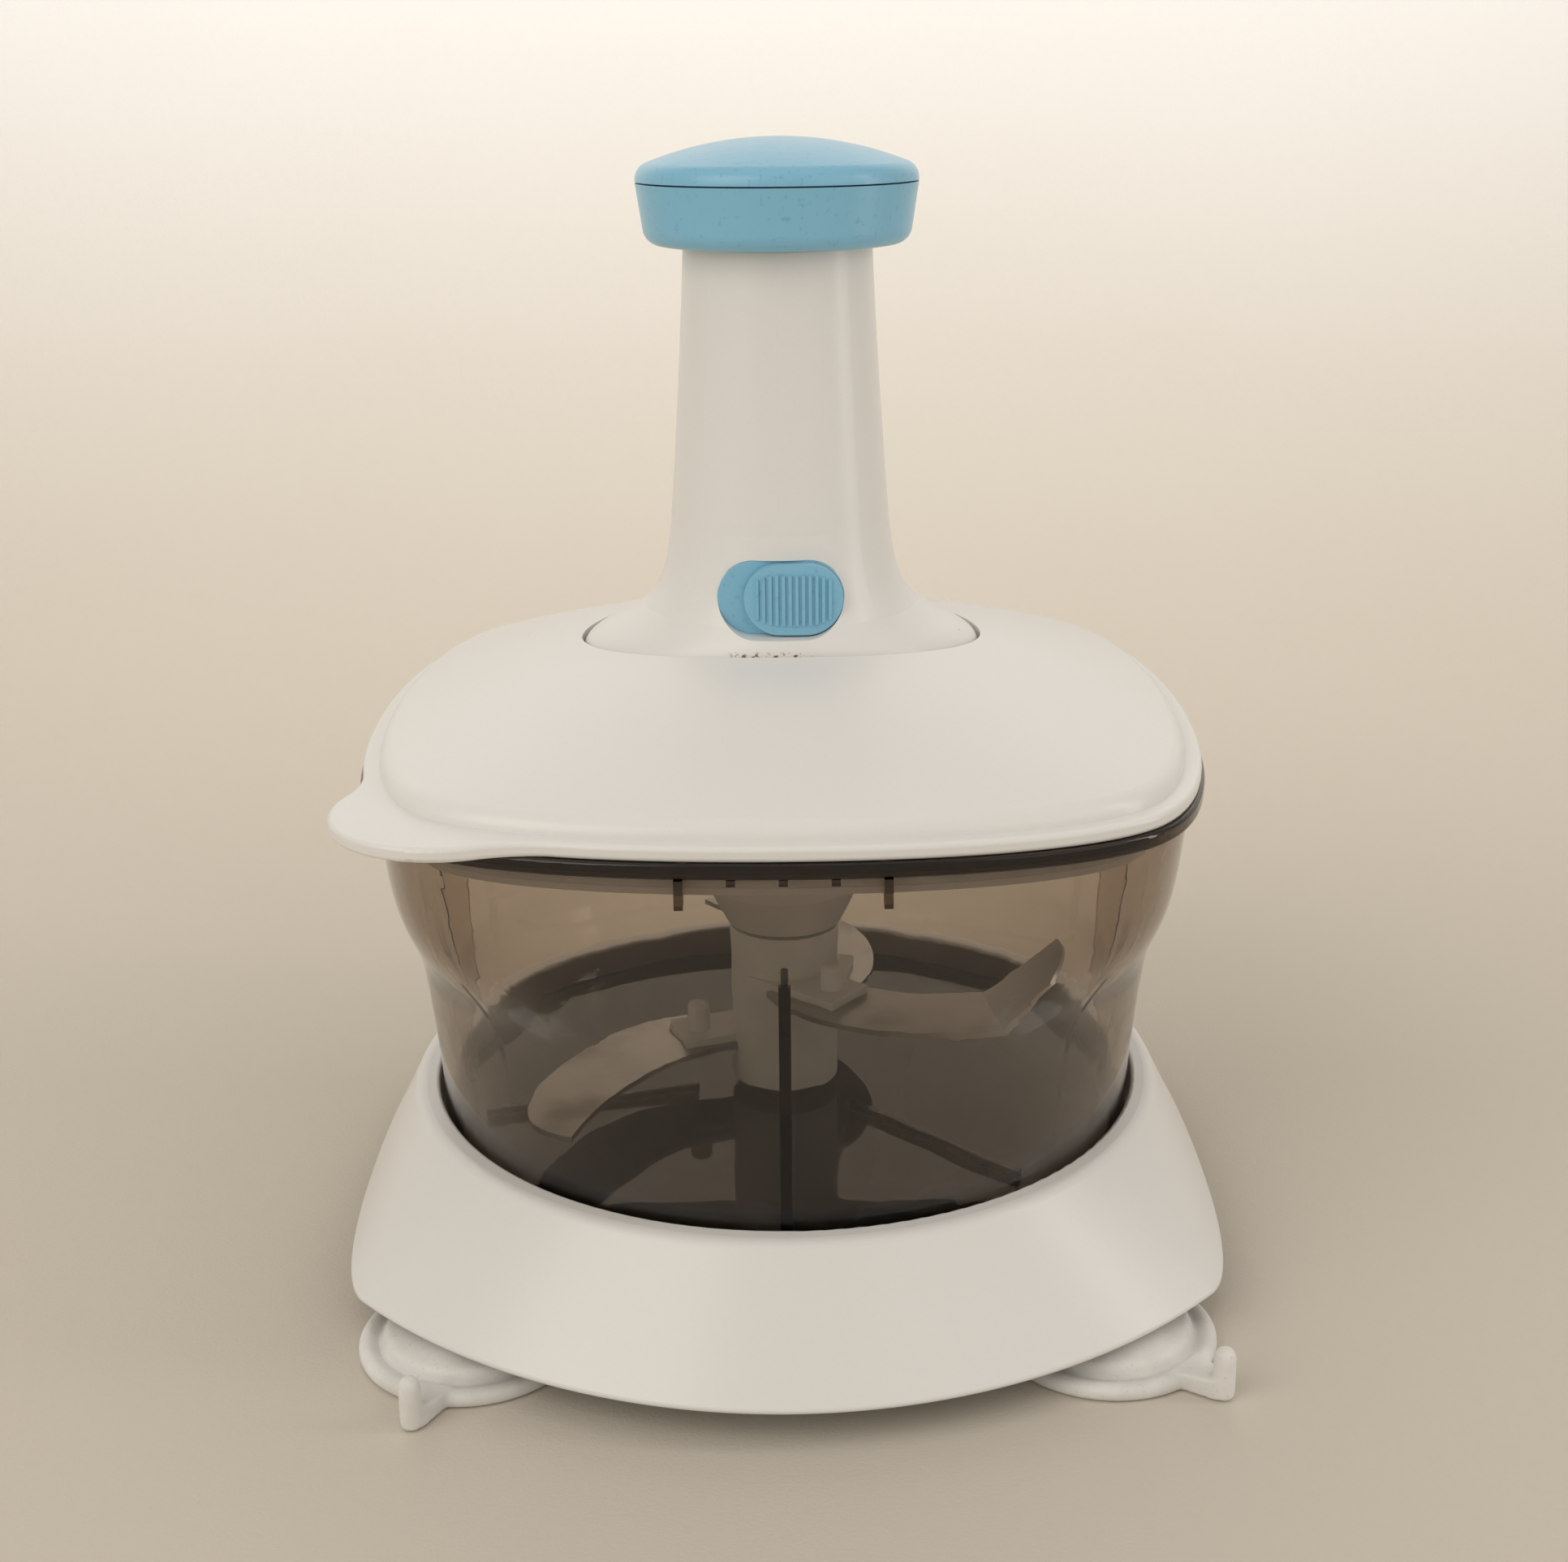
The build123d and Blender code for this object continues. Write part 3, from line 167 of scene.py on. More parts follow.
class Finish:
    """One material with its Principled shader."""

    def __init__(self, name):
        self.material = bpy.data.materials.new(name)
        self.material.use_nodes = True
        self.tree = self.material.node_tree
        self.shader = self.tree.nodes["Principled BSDF"]
        self.place = self.node("ShaderNodeTexCoord", output="Object")

    def node(self, kind, settings=None, inputs=None, output=0):
        """Any node: its settings first, then the values or links of its sockets."""
        node = self.tree.nodes.new(kind)
        for key, value in (settings or {}).items():
            setattr(node, key, value)
        for key, value in (inputs or {}).items():
            self.feed(node.inputs[key], value)
        return Field(self, node.outputs[output])

    def feed(self, socket, value):
        if isinstance(value, Field):
            self.tree.links.new(value.socket, socket)
        else:
            socket.default_value = value

    def set(self, sockets):
        """Sets or links sockets of the shader."""
        for name, value in sockets.items():
            self.feed(self.shader.inputs[name], value)

    def axis(self, index):
        """One coordinate of the place on the piece, in metres."""
        return self.node("ShaderNodeSeparateXYZ", None, {"Vector": self.place}, output=index)

    def stretched(self, scale):
        """The place with each axis scaled by its own number."""
        return self.node("ShaderNodeMapping", None, {"Vector": self.place, "Scale": scale})

    def noise(self, size, detail=2.0, place=None):
        """Soft random patches of about a size."""
        values = {"Vector": place or self.place, "Scale": 1 / size, "Detail": detail}
        return self.node("ShaderNodeTexNoise", None, values)

    def specks(self, spacing, radius, share):
        """Round specks about a spacing apart, kept in a share of their cells."""
        values = {"Vector": self.place, "Scale": 1 / spacing}
        reach = radius / spacing
        distance = self.node("ShaderNodeTexVoronoi", None, values, "Distance")
        inside = 1 - distance.step(reach * SPECK_CORE_SHARE, reach)
        cell = self.node("ShaderNodeTexVoronoi", None, values, "Color")
        chance = self.node("ShaderNodeSeparateColor", None, {"Color": cell})
        return inside * chance.above(1 - share, SPECK_CUT)

    def mix(self, share, first, second):
        """A colour between two colours."""
        values = {"Factor": share, MIX_FIRST: first, MIX_SECOND: second}
        return self.node("ShaderNodeMix", {"data_type": "RGBA"}, values, output=MIX_RESULT)

    def bump(self, height, depth):
        """Fine relief of a depth."""
        values = {"Height": height, "Distance": depth}
        self.set({"Normal": self.node("ShaderNodeBump", None, values)})

    def tint(self, color, density):
        """Colours the light by how far it goes through the piece."""
        smoke = self.node("ShaderNodeVolumeAbsorption", None, {"Color": color, "Density": density})
        self.feed(self.tree.nodes["Material Output"].inputs["Volume"], smoke)


print("finish helper:", Finish.__name__)

# %% [markdown]
# The record's material slots say which pieces share a finish. A finish goes on every node of its
# slot, through the node's own material list, because the meshes of the frame stay as they are.

# %% Put a finish on nodes
subparts = frame["record"]["subparts"]


def put_on(finish, names):
    for name in names:
        materials = nodes[name].data.materials
        materials.clear()
        materials.append(finish.material)
    print(finish.material.name, "on", len(names), "nodes")


def members(slot):
    return [part["node"] for part in subparts if part["material_slot"] == slot]


print("slots:", ", ".join(sorted({part["material_slot"] for part in subparts})))

# %% [markdown]
# The base, lid and column are moulded in white plastic with a satin gloss. Up close the gloss is
# never even: the colour drifts a little, the mould leaves a fine ripple, and dust settles. A slow
# noise does the drift, a fine one the ripple, and sparse dark specks the dust. Food has dried in
# the seam at the column's foot, just under the switch, so the column gets the same finish with a
# few brown crumbs along that seam.

# %% White plastic
WHITE_SHADE = (0.735, 0.715, 0.68, 1)
WHITE_LIGHT = (0.785, 0.77, 0.74, 1)
WHITE_CLOUD = 70 * MM
WHITE_GRAIN = 0.6 * MM
WHITE_RIPPLE = 2.4 * MM
WHITE_ROUGHNESS = (0.27, 0.33)
MOULD_DEPTH = 0.04 * MM
PLASTIC_IOR = 1.5
DUST_COLOR = (0.17, 0.14, 0.11, 1)
DUST_SPACING = 13 * MM
DUST_RADIUS = 0.24 * MM
DUST_SHARE = 0.55
DUST_STRENGTH = 0.85
CRUMB_COLOR = (0.20, 0.095, 0.03, 1)
CRUMB_SIZE = 0.9 * MM
CRUMB_CUT = (0.53, 0.6)
CRUMB_MIDDLE = -2 * MM
CRUMB_HALF_SPAN = 6.3 * MM
CRUMB_FADE = 2.7 * MM
CRUMB_FRONT = -24 * MM
CRUMB_HEIGHT = 1.0 * MM


def seam_crumbs(finish):
    """Mask of the crumbs along the front of the column's foot."""
    x, y, z = (finish.axis(index) for index in range(3))
    low = z.below(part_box("lid")[1][2], CRUMB_HEIGHT)
    near = abs(x - CRUMB_MIDDLE).below(CRUMB_HALF_SPAN, CRUMB_FADE)
    front = y.below(CRUMB_FRONT, CRUMB_HEIGHT)
    return low * near * front * finish.noise(CRUMB_SIZE, detail=3.0).step(*CRUMB_CUT)


def white_plastic(name, soiled=False):
    finish = Finish(name)
    cloud = finish.noise(WHITE_CLOUD, detail=1.0)
    grain = finish.noise(WHITE_GRAIN)
    clean = finish.mix((cloud + grain) * 0.5, WHITE_SHADE, WHITE_LIGHT)
    dust = finish.specks(DUST_SPACING, DUST_RADIUS, DUST_SHARE) * DUST_STRENGTH
    color = finish.mix(dust, clean, DUST_COLOR)
    if soiled:
        color = finish.mix(seam_crumbs(finish), color, CRUMB_COLOR)
    finish.set({"Base Color": color, "Roughness": cloud.between(*WHITE_ROUGHNESS)})
    finish.set({"IOR": PLASTIC_IOR})
    finish.bump(finish.noise(WHITE_RIPPLE), MOULD_DEPTH)
    return finish


put_on(white_plastic("white_plastic"), members("white_plastic"))
put_on(white_plastic("soiled_white_plastic", soiled=True), ["column_housing"])

# %% [markdown]
# The bowl is clear plastic with a brown-grey smoke in it. A flat tint would colour a thin wall and
# a thick rib alike. Here the surface is clear and the smoke fills the wall as an absorbing volume.
# The rim, its ribs, the fins and the floor's ribs look nearly black, because light runs along them
# inside the plastic and never comes out to the front, and the lid's skirt shades the rim. That dark
# is painted shade: a mask of these places, by their distance from the axis and their height, darkens
# the base colour. Wiping leaves faint smears, which only show in the gloss.

# %% Smoked plastic
SMOKE_COLOR = (0.45, 0.32, 0.17, 1)
SMOKE_DENSITY = 260.0
SMOKE_IOR = 1.46
SMOKE_ROUGHNESS = (0.015, 0.055)
SMEAR_SIZE = 18 * MM
SMEAR_CUT = (0.45, 0.8)
CLEAR_TINT = (0.99, 0.98, 0.97, 1)
PAINTED_SHADE_TINT = (0.13, 0.085, 0.055, 1)
SHADE_MASK_EDGE = 0.1 * MM
RIM_HEIGHT = 3.1 * MM
RIM_OVERHANG = 2.5 * MM
FIN_HALF = 1.05 * MM
FIN_START = 69.0 * MM
FIN_TOP = 85.5 * MM
FLOOR_TOP = 28.2 * MM
RIB_TOP = 30.4 * MM
RIB_START = 17.0 * MM
RIB_END = 66.5 * MM


def painted_shade_places(finish):
    """Mask of the painted shade on the rim, the ribs under it, the front and rear fins and the floor's ribs."""
    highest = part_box("bowl")[1]
    x, y, z = (finish.axis(index) for index in range(3))
    radius = (x * x + y * y).math("SQRT")
    rim = z.above(highest[2] - RIM_HEIGHT, SHADE_MASK_EDGE)
    rim_ribs = (y * -1).above(highest[0] - RIM_OVERHANG, SHADE_MASK_EDGE)
    fins = abs(x).below(FIN_HALF, SHADE_MASK_EDGE) * radius.above(FIN_START, SHADE_MASK_EDGE)
    fins = fins * z.below(FIN_TOP, SHADE_MASK_EDGE)
    on_floor = z.above(FLOOR_TOP, SHADE_MASK_EDGE) * z.below(RIB_TOP, SHADE_MASK_EDGE)
    along = radius.above(RIB_START, SHADE_MASK_EDGE) * radius.below(RIB_END, SHADE_MASK_EDGE)
    return rim | rim_ribs | fins | on_floor * along


def smoked_plastic():
    finish = Finish("smoked_plastic")
    smear = finish.noise(SMEAR_SIZE, detail=4.0).step(*SMEAR_CUT)
    # Painted shade: the base colour goes dark on the rim, its ribs, the fins and the floor's ribs.
    tint = finish.mix(painted_shade_places(finish), CLEAR_TINT, PAINTED_SHADE_TINT)
    finish.set({"Base Color": tint, "Roughness": smear.between(*SMOKE_ROUGHNESS)})
    finish.set({"IOR": SMOKE_IOR, "Transmission Weight": 1.0})
    finish.tint(SMOKE_COLOR, SMOKE_DENSITY)
    return finish


put_on(smoked_plastic(), members("smoked_plastic"))

# %% [markdown]
# The knob and the lock switch are light blue plastic of the same moulding. Hands have dulled it: it
# is a little rougher in patches, with fine scuffs, and grime sits in a fine grain.

# %% Blue plastic
BLUE_DEEP = (0.205, 0.475, 0.65, 1)
BLUE_PALE = (0.235, 0.515, 0.695, 1)
BLUE_CLOUD = 30 * MM
BLUE_RIPPLE = 2 * MM
BLUE_ROUGHNESS = (0.28, 0.38)
GRIME_COLOR = (0.09, 0.21, 0.30, 1)
GRIME_SIZE = 1.2 * MM
GRIME_CUT = (0.58, 0.75)
GRIME_STRENGTH = 0.3
SCUFF_SIZE = 14 * MM
SCUFF_STRETCH = (1, 3, 2)
SCUFF_CUT = (0.5, 0.8)
BLUE_DUST_SPACING = 9 * MM
FINE_DUST_RADIUS = 0.16 * MM
FINE_DUST_SHARE = 0.6
BLUE_DUST_STRENGTH = 0.7


def blue_plastic():
    finish = Finish("blue_plastic")
    clean = finish.mix(finish.noise(BLUE_CLOUD, detail=3.0), BLUE_DEEP, BLUE_PALE)
    grime = finish.noise(GRIME_SIZE, detail=3.0).step(*GRIME_CUT) * GRIME_STRENGTH
    dust = finish.specks(BLUE_DUST_SPACING, FINE_DUST_RADIUS, FINE_DUST_SHARE)
    color = finish.mix(grime, clean, GRIME_COLOR)
    color = finish.mix(dust * BLUE_DUST_STRENGTH, color, DUST_COLOR)
    scuffs = finish.noise(SCUFF_SIZE, 4.0, finish.stretched(SCUFF_STRETCH)).step(*SCUFF_CUT)
    finish.set({"Base Color": color, "Roughness": scuffs.between(*BLUE_ROUGHNESS)})
    finish.set({"IOR": PLASTIC_IOR})
    finish.bump(finish.noise(BLUE_RIPPLE), MOULD_DEPTH)
    return finish


put_on(blue_plastic(), members("blue_plastic"))

# %% [markdown]
# The hub and the small drive pieces are milky plastic that light soaks into. Subsurface scattering
# gives that, with a short reach because the walls are thin.

# %% Milky plastic
EVEN_SCATTER = (1.0, 0.95, 0.9)
SCATTER_REACH = 3 * MM
SOFT_CUT = (0.3, 0.7)
MILK_SHADE = (0.70, 0.715, 0.68, 1)
MILK_LIGHT = (0.80, 0.81, 0.78, 1)
MILK_CLOUD = 17 * MM
MILK_RIPPLE = 2.2 * MM
MILK_ROUGHNESS = (0.3, 0.45)
MILK_SOAK = 0.35


def soak(finish, weight):
    """Lets a share of the light scatter inside, about as far for each colour."""
    finish.set({"Subsurface Weight": weight, "Subsurface Radius": EVEN_SCATTER})
    finish.set({"Subsurface Scale": SCATTER_REACH})


def milky_plastic():
    finish = Finish("milky_plastic")
    cloud = finish.noise(MILK_CLOUD, detail=3.0)
    finish.set({"Base Color": finish.mix(cloud.step(*SOFT_CUT), MILK_SHADE, MILK_LIGHT)})
    finish.set({"Roughness": cloud.between(*MILK_ROUGHNESS)})
    soak(finish, MILK_SOAK)
    finish.bump(finish.noise(MILK_RIPPLE), MOULD_DEPTH)
    return finish


put_on(milky_plastic(), members("milky_plastic"))

# %% [markdown]
# The blades are stamped from rolled sheet steel. Rolling leaves fine lines in one direction, so the
# noise is stretched along it and drives both roughness and a slight bump. Use leaves dull, darker
# patches.

# %% Blade steel
STEEL_BRIGHT = (0.46, 0.45, 0.43, 1)
STEEL_DULL = (0.25, 0.235, 0.22, 1)
STEEL_LINE_DEPTH = 0.02 * MM
ROLLED_LINE_SIZE = 4.5 * MM
ROLLED_STRETCH = (1, 9, 9)
ROLLED_STRENGTH = 0.25
ROLLED_ROUGHNESS = (0.24, 0.38)
PATCH_SIZE = 22 * MM
PATCH_CUT = (0.45, 0.72)
PATCH_STRENGTH = 0.6
PATCH_ROUGHNESS = 0.12


def blade_steel():
    finish = Finish("blade_steel")
    lines = finish.noise(ROLLED_LINE_SIZE, 4.0, finish.stretched(ROLLED_STRETCH))
    patches = finish.noise(PATCH_SIZE, detail=4.0).step(*PATCH_CUT)
    dull = patches * PATCH_STRENGTH + lines * ROLLED_STRENGTH
    finish.set({"Base Color": finish.mix(dull, STEEL_BRIGHT, STEEL_DULL), "Metallic": 1.0})
    finish.set({"Roughness": lines.between(*ROLLED_ROUGHNESS) + patches * PATCH_ROUGHNESS})
    finish.bump(lines, STEEL_LINE_DEPTH)
    return finish


put_on(blade_steel(), members("blade_steel"))

# %% [markdown]
# The spindle, pin, clip, spring and screws are turned or drawn steel. A lathe leaves rings round
# the axis, and every one of these stands upright, so the lines run across the height.

# %% Turned steel
RING_SIZE = 6 * MM
RING_STRETCH = (1, 1, 14)
RING_ROUGHNESS = (0.2, 0.36)
STAIN_SIZE = 11 * MM
STAIN_CUT = (0.5, 0.75)
STAIN_STRENGTH = 0.5
STAIN_ROUGHNESS = 0.1


def turned_steel():
    finish = Finish("turned_steel")
    rings = finish.noise(RING_SIZE, 4.0, finish.stretched(RING_STRETCH))
    stain = finish.noise(STAIN_SIZE, detail=3.0).step(*STAIN_CUT)
    color = finish.mix(stain * STAIN_STRENGTH, STEEL_BRIGHT, STEEL_DULL)
    finish.set({"Base Color": color, "Metallic": 1.0})
    finish.set({"Roughness": rings.between(*RING_ROUGHNESS) + stain * STAIN_ROUGHNESS})
    finish.bump(rings, STEEL_LINE_DEPTH)
    return finish


put_on(turned_steel(), members("turned_steel"))

# %% [markdown]
# Silicone is milky, soft and a little see-through, and dust clings to it. It scatters light like
# the milky plastic, but its surface is duller and holds specks and fine grey lint.

# %% Silicone
SILICONE_SHADE = (0.66, 0.645, 0.61, 1)
SILICONE_LIGHT = (0.78, 0.765, 0.73, 1)
SILICONE_CLOUD = 11 * MM
SILICONE_RIPPLE = 1.4 * MM
SILICONE_RIPPLE_DEPTH = 0.06 * MM
SILICONE_ROUGHNESS = (0.42, 0.62)
SILICONE_IOR = 1.41
SILICONE_SOAK = 0.45
SILICONE_DUST_SPACING = 5 * MM
LINT_SIZE = 0.7 * MM
LINT_CUT = (0.62, 0.75)
LINT_STRENGTH = 0.35
SOIL_STRENGTH = 0.5


def silicone():
    finish = Finish("silicone")
    cloud = finish.noise(SILICONE_CLOUD, detail=4.0)
    clean = finish.mix(cloud.step(*SOFT_CUT), SILICONE_SHADE, SILICONE_LIGHT)
    dust = finish.specks(SILICONE_DUST_SPACING, FINE_DUST_RADIUS, FINE_DUST_SHARE)
    lint = finish.noise(LINT_SIZE).step(*LINT_CUT) * LINT_STRENGTH
    finish.set({"Base Color": finish.mix((dust + lint) * SOIL_STRENGTH, clean, DUST_COLOR)})
    finish.set({"Roughness": cloud.between(*SILICONE_ROUGHNESS), "IOR": SILICONE_IOR})
    soak(finish, SILICONE_SOAK)
    finish.bump(finish.noise(SILICONE_RIPPLE), SILICONE_RIPPLE_DEPTH)
    return finish


soft_finish = silicone()
put_on(soft_finish, members("silicone"))

# %% [markdown]
# A suction cup is one soft moulding: a hollow dish with a rounded rim, a raised step, a neck, a
# button that snaps into the base, and a short tab that ends in an upright peg for the finger. A
# lathe is the natural start. The dish is drawn ring by ring: a filled circle is extruded and
# resized, and each pair below is one ring's radius and height.

# %% Lathe
RING_SIDES = 72
DISH_RINGS_MM = (
    (1.2, 3.0), (8.0, 2.7), (14.0, 1.9), (18.4, 0.7), (19.6, 0.05),
    (21.4, 0.05), (22.2, 0.5), (22.5, 1.4), (22.3, 2.5), (21.6, 3.2), (20.4, 3.4), (19.3, 3.1),
    (18.5, 2.5), (17.9, 2.6), (17.6, 3.4), (17.2, 4.5), (16.3, 5.2), (14.5, 5.6), (11.0, 6.3),
    (9.0, 7.0), (8.1, 8.0), (8.0, 11.2), (3.8, 11.3), (3.8, 14.2), (5.0, 14.4), (5.1, 15.1),
    (3.9, 16.0), (1.2, 16.1),
)
PEG_RINGS_MM = (
    (1.5, 0.2), (2.1, 0.8), (2.2, 2.0), (2.15, 8.8), (1.9, 10.0), (1.3, 10.8), (0.5, 11.1),
)


def lathe(name, rings):
    """A round closed form about the upright axis, from its first ring to its last."""
    bpy.ops.object.select_all(action="DESELECT")
    radius, level = (length * MM for length in rings[0])
    first_ring = {"vertices": RING_SIDES, "radius": radius, "location": (0, 0, level)}
    bpy.ops.mesh.primitive_circle_add(fill_type="NGON", **first_ring)
    piece = bpy.context.object
    piece.name = name
    bpy.ops.object.transform_apply(location=True)
    bpy.ops.object.mode_set(mode="EDIT")
    for ring in rings[1:]:
        next_radius, next_level = (length * MM for length in ring)
        rise = {"value": (0, 0, next_level - level)}
        bpy.ops.mesh.extrude_region_move(TRANSFORM_OT_translate=rise)
        share = next_radius / radius
        bpy.ops.transform.resize(value=(share, share, 1), center_override=(0, 0, next_level))
        radius, level = next_radius, next_level
    bpy.ops.mesh.select_all(action="SELECT")
    bpy.ops.mesh.normals_make_consistent(inside=False)
    bpy.ops.object.mode_set(mode="OBJECT")
    return piece


dish = lathe("suction_cup", DISH_RINGS_MM)
peg = lathe("cup_peg", PEG_RINGS_MM)
print("dish faces:", len(dish.data.polygons), "peg faces:", len(peg.data.polygons))

# %% [markdown]
# The tab joins the rim to the peg. It is a cube whose outer face is drawn in, so that it flares
# towards the rim. The peg moves out to the tab's end.

# %% Tab
TAB_START = 19.0 * MM
TAB_REACH = 28.7 * MM
TAB_HALF_WIDTH = 4.6 * MM
TAB_HEIGHT = 3.4 * MM
TAB_LIFT = 0.3 * MM
TAB_END_SHARES = (1, 0.5, 1.25)
FACING_SHARE = 0.9


def select_only(*pieces):
    bpy.ops.object.select_all(action="DESELECT")
    for piece in pieces:
        piece.select_set(True)
    bpy.context.view_layer.objects.active = pieces[0]


def edit_where(piece, kind, wanted):
    """Goes into edit mode with only the faces or edges selected that pass a test."""
    bpy.ops.object.mode_set(mode="EDIT")
    bpy.ops.mesh.select_all(action="DESELECT")
    bpy.ops.object.mode_set(mode="OBJECT")
    for element in getattr(piece.data, kind):
        element.select = wanted(element)
    bpy.ops.object.mode_set(mode="EDIT")


bpy.ops.object.select_all(action="DESELECT")
tab_middle = ((TAB_START + TAB_REACH) / 2, 0, TAB_HEIGHT / 2 + TAB_LIFT)
bpy.ops.mesh.primitive_cube_add(size=1, location=tab_middle)
tab = bpy.context.object
tab.scale = (TAB_REACH - TAB_START, 2 * TAB_HALF_WIDTH, TAB_HEIGHT)
bpy.ops.object.transform_apply(location=True, scale=True)
edit_where(tab, "polygons", lambda face: face.normal.x > FACING_SHARE)
bpy.ops.transform.resize(value=TAB_END_SHARES, center_override=(TAB_REACH, 0, TAB_LIFT))
bpy.ops.object.mode_set(mode="OBJECT")
peg.location.x = TAB_REACH
select_only(peg)
bpy.ops.object.transform_apply(location=True)
print("tab length in mm:", round((TAB_REACH - TAB_START) / MM, 2))

# %% [markdown]
# On the moulding the dish, tab and peg run together with soft fillets. Fusing the three shapes with
# a voxel remesh and easing the result gives those fillets, which bevels on a boolean rarely do.

# %% Fuse the cup
VOXEL = 0.42 * MM
EASE_FACTOR = 0.5
EASE_STEPS = 7

select_only(dish, tab, peg)
bpy.ops.object.join()
cup_model = bpy.context.object
fuse = cup_model.modifiers.new("fuse", "REMESH")
fuse.mode = "VOXEL"
fuse.voxel_size = VOXEL
ease = cup_model.modifiers.new("ease", "SMOOTH")
ease.factor = EASE_FACTOR
ease.iterations = EASE_STEPS
for modifier in ("fuse", "ease"):
    bpy.ops.object.modifier_apply(modifier=modifier)
bpy.ops.object.shade_smooth()
cup_model.data.materials.clear()
cup_model.data.materials.append(soft_finish.material)
print("suction cup faces:", len(cup_model.data.polygons))

# %% [markdown]
# The four cups are one moulding, so the model is copied, each copy with its own mesh. A cup stands
# where its joint has its axis, turned the way its tab points, and it moves with the cup's own body.
# The rear tabs are the front ones turned half round the chopper.

# %% Four suction cups
LEFT_TAB_DEGREES = 254.5
RIGHT_TAB_DEGREES = 314.0
HALF_TURN = 180
TAB_DEGREES = {
    "front_left": LEFT_TAB_DEGREES,
    "front_right": RIGHT_TAB_DEGREES,
    "rear_right": LEFT_TAB_DEGREES + HALF_TURN,
    "rear_left": RIGHT_TAB_DEGREES + HALF_TURN,
}

for corner, degrees in TAB_DEGREES.items():
    cup = cup_model.copy()
    cup.data = cup_model.data.copy()
    cup.name = "soft_cup_" + corner
    bpy.context.scene.collection.objects.link(cup)
    x, y = joints["cup_turn_" + corner]["pos_m"][:2]
    cup.location = (x, y, 0)
    cup.rotation_euler.z = math.radians(degrees)
    select_only(cup)
    bpy.ops.object.transform_apply(location=True, rotation=True)
    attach(cup, "cup_" + corner)
    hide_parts("suction_cup_" + corner)
    print(cup.name, "at", round(x, 4), round(y, 4))
bpy.data.objects.remove(cup_model)

# %% [markdown]
# The gasket is a soft round-edged strip in a groove of the lid's skirt. Its path is the same
# rounded square as the lid. A curve is the tool for a strip of constant section: a Bezier circle is
# bent to the path, a small closed curve gives the section, and the result is made a mesh.

# %% Gasket path
CORNER_SHARE = 0.809
HANDLE_SHARE = 0.64
GASKET_DEPTH = 1.9 * MM
CIRCLE_POINTS = 4


def rounded_square(half):
    """Eight points of a rounded square, each with its two handles."""
    side = Vector((half, 0, 0))
    front = Vector((0, half, 0))
    knee_share = 2 * CORNER_SHARE - 1
    corner = (side + front) * CORNER_SHARE
    side_reach = front * knee_share * HANDLE_SHARE
    corner_back = (side + front * knee_share - corner) * HANDLE_SHARE
    corner_on = (front + side * knee_share - corner) * HANDLE_SHARE
    points = []
    for quarter in range(4):
        turned = Matrix.Rotation(quarter * math.pi / 2, 3, "Z")
        points.append([turned @ p for p in (side, side - side_reach, side + side_reach)])
        points.append([turned @ p for p in (corner, corner + corner_back, corner + corner_on)])
    return points


def closed_curve(name, points):
    """A closed Bezier curve through points with handles, bent from a circle."""
    bpy.ops.object.select_all(action="DESELECT")
    bpy.ops.curve.primitive_bezier_circle_add()
    curve = bpy.context.object
    curve.name = name
    bpy.ops.object.mode_set(mode="EDIT")
    bpy.ops.curve.select_all(action="SELECT")
    bpy.ops.curve.subdivide(number_cuts=len(points) // CIRCLE_POINTS - 1)
    bpy.ops.object.mode_set(mode="OBJECT")
    for spot, (place, left, right) in zip(curve.data.splines[0].bezier_points, points):
        spot.handle_left_type = spot.handle_right_type = "FREE"
        spot.co, spot.handle_left, spot.handle_right = place, left, right
    return curve


gasket_low, gasket_high = (Vector(corner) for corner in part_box("lid_gasket"))
strip = closed_curve("soft_gasket", rounded_square(gasket_high.x - GASKET_DEPTH / 2))
print("gasket half width in mm:", round(gasket_high.x / MM, 2))

# %% [markdown]
# The section is upright, with round corners and a slight bulge on both sides, as soft strips have.
# A Bezier circle with eight points is enough, with automatic handles between the listed points.

# %% Gasket section
SECTION_SHARES = (
    (0.42, 0.32), (0.17, 0.47), (-0.22, 0.43), (-0.42, 0.28),
    (-0.42, -0.28), (-0.22, -0.43), (0.17, -0.47), (0.42, -0.32),
)
SECTION_STEPS = 4

gasket_height = gasket_high.z - gasket_low.z
spots = [Vector((x * GASKET_DEPTH, y * gasket_height, 0)) for x, y in SECTION_SHARES]
section = closed_curve("gasket_section", [(spot, spot, spot) for spot in spots])
for spot in section.data.splines[0].bezier_points:
    spot.handle_left_type = spot.handle_right_type = "AUTO"
section.data.resolution_u = SECTION_STEPS
print("gasket height in mm:", round(gasket_height / MM, 2))

# %% [markdown]
# The section now runs along the path as its bevel, and converting makes that a mesh. Shading is
# smooth, apart from sharp folds. The strip belongs to the lid and takes the place of the plain
# ring.

# %% Gasket mesh
PATH_STEPS = 14
SMOOTH_ANGLE = math.radians(50)

strip.data.dimensions = "2D"
strip.data.fill_mode = "NONE"
strip.data.bevel_mode = "OBJECT"
strip.data.bevel_object = section
strip.data.resolution_u = PATH_STEPS
strip.location.z = (gasket_low.z + gasket_high.z) / 2
select_only(strip)
bpy.ops.object.convert(target="MESH")
bpy.ops.object.transform_apply(location=True)
bpy.data.objects.remove(section)
gasket = bpy.context.object
bpy.ops.object.mode_set(mode="EDIT")
bpy.ops.mesh.select_all(action="SELECT")
bpy.ops.mesh.normals_make_consistent(inside=False)
bpy.ops.object.mode_set(mode="OBJECT")
bpy.ops.object.shade_smooth_by_angle(angle=SMOOTH_ANGLE)
gasket.data.materials.clear()
gasket.data.materials.append(soft_finish.material)
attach(gasket, "lid")
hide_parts("lid_gasket")
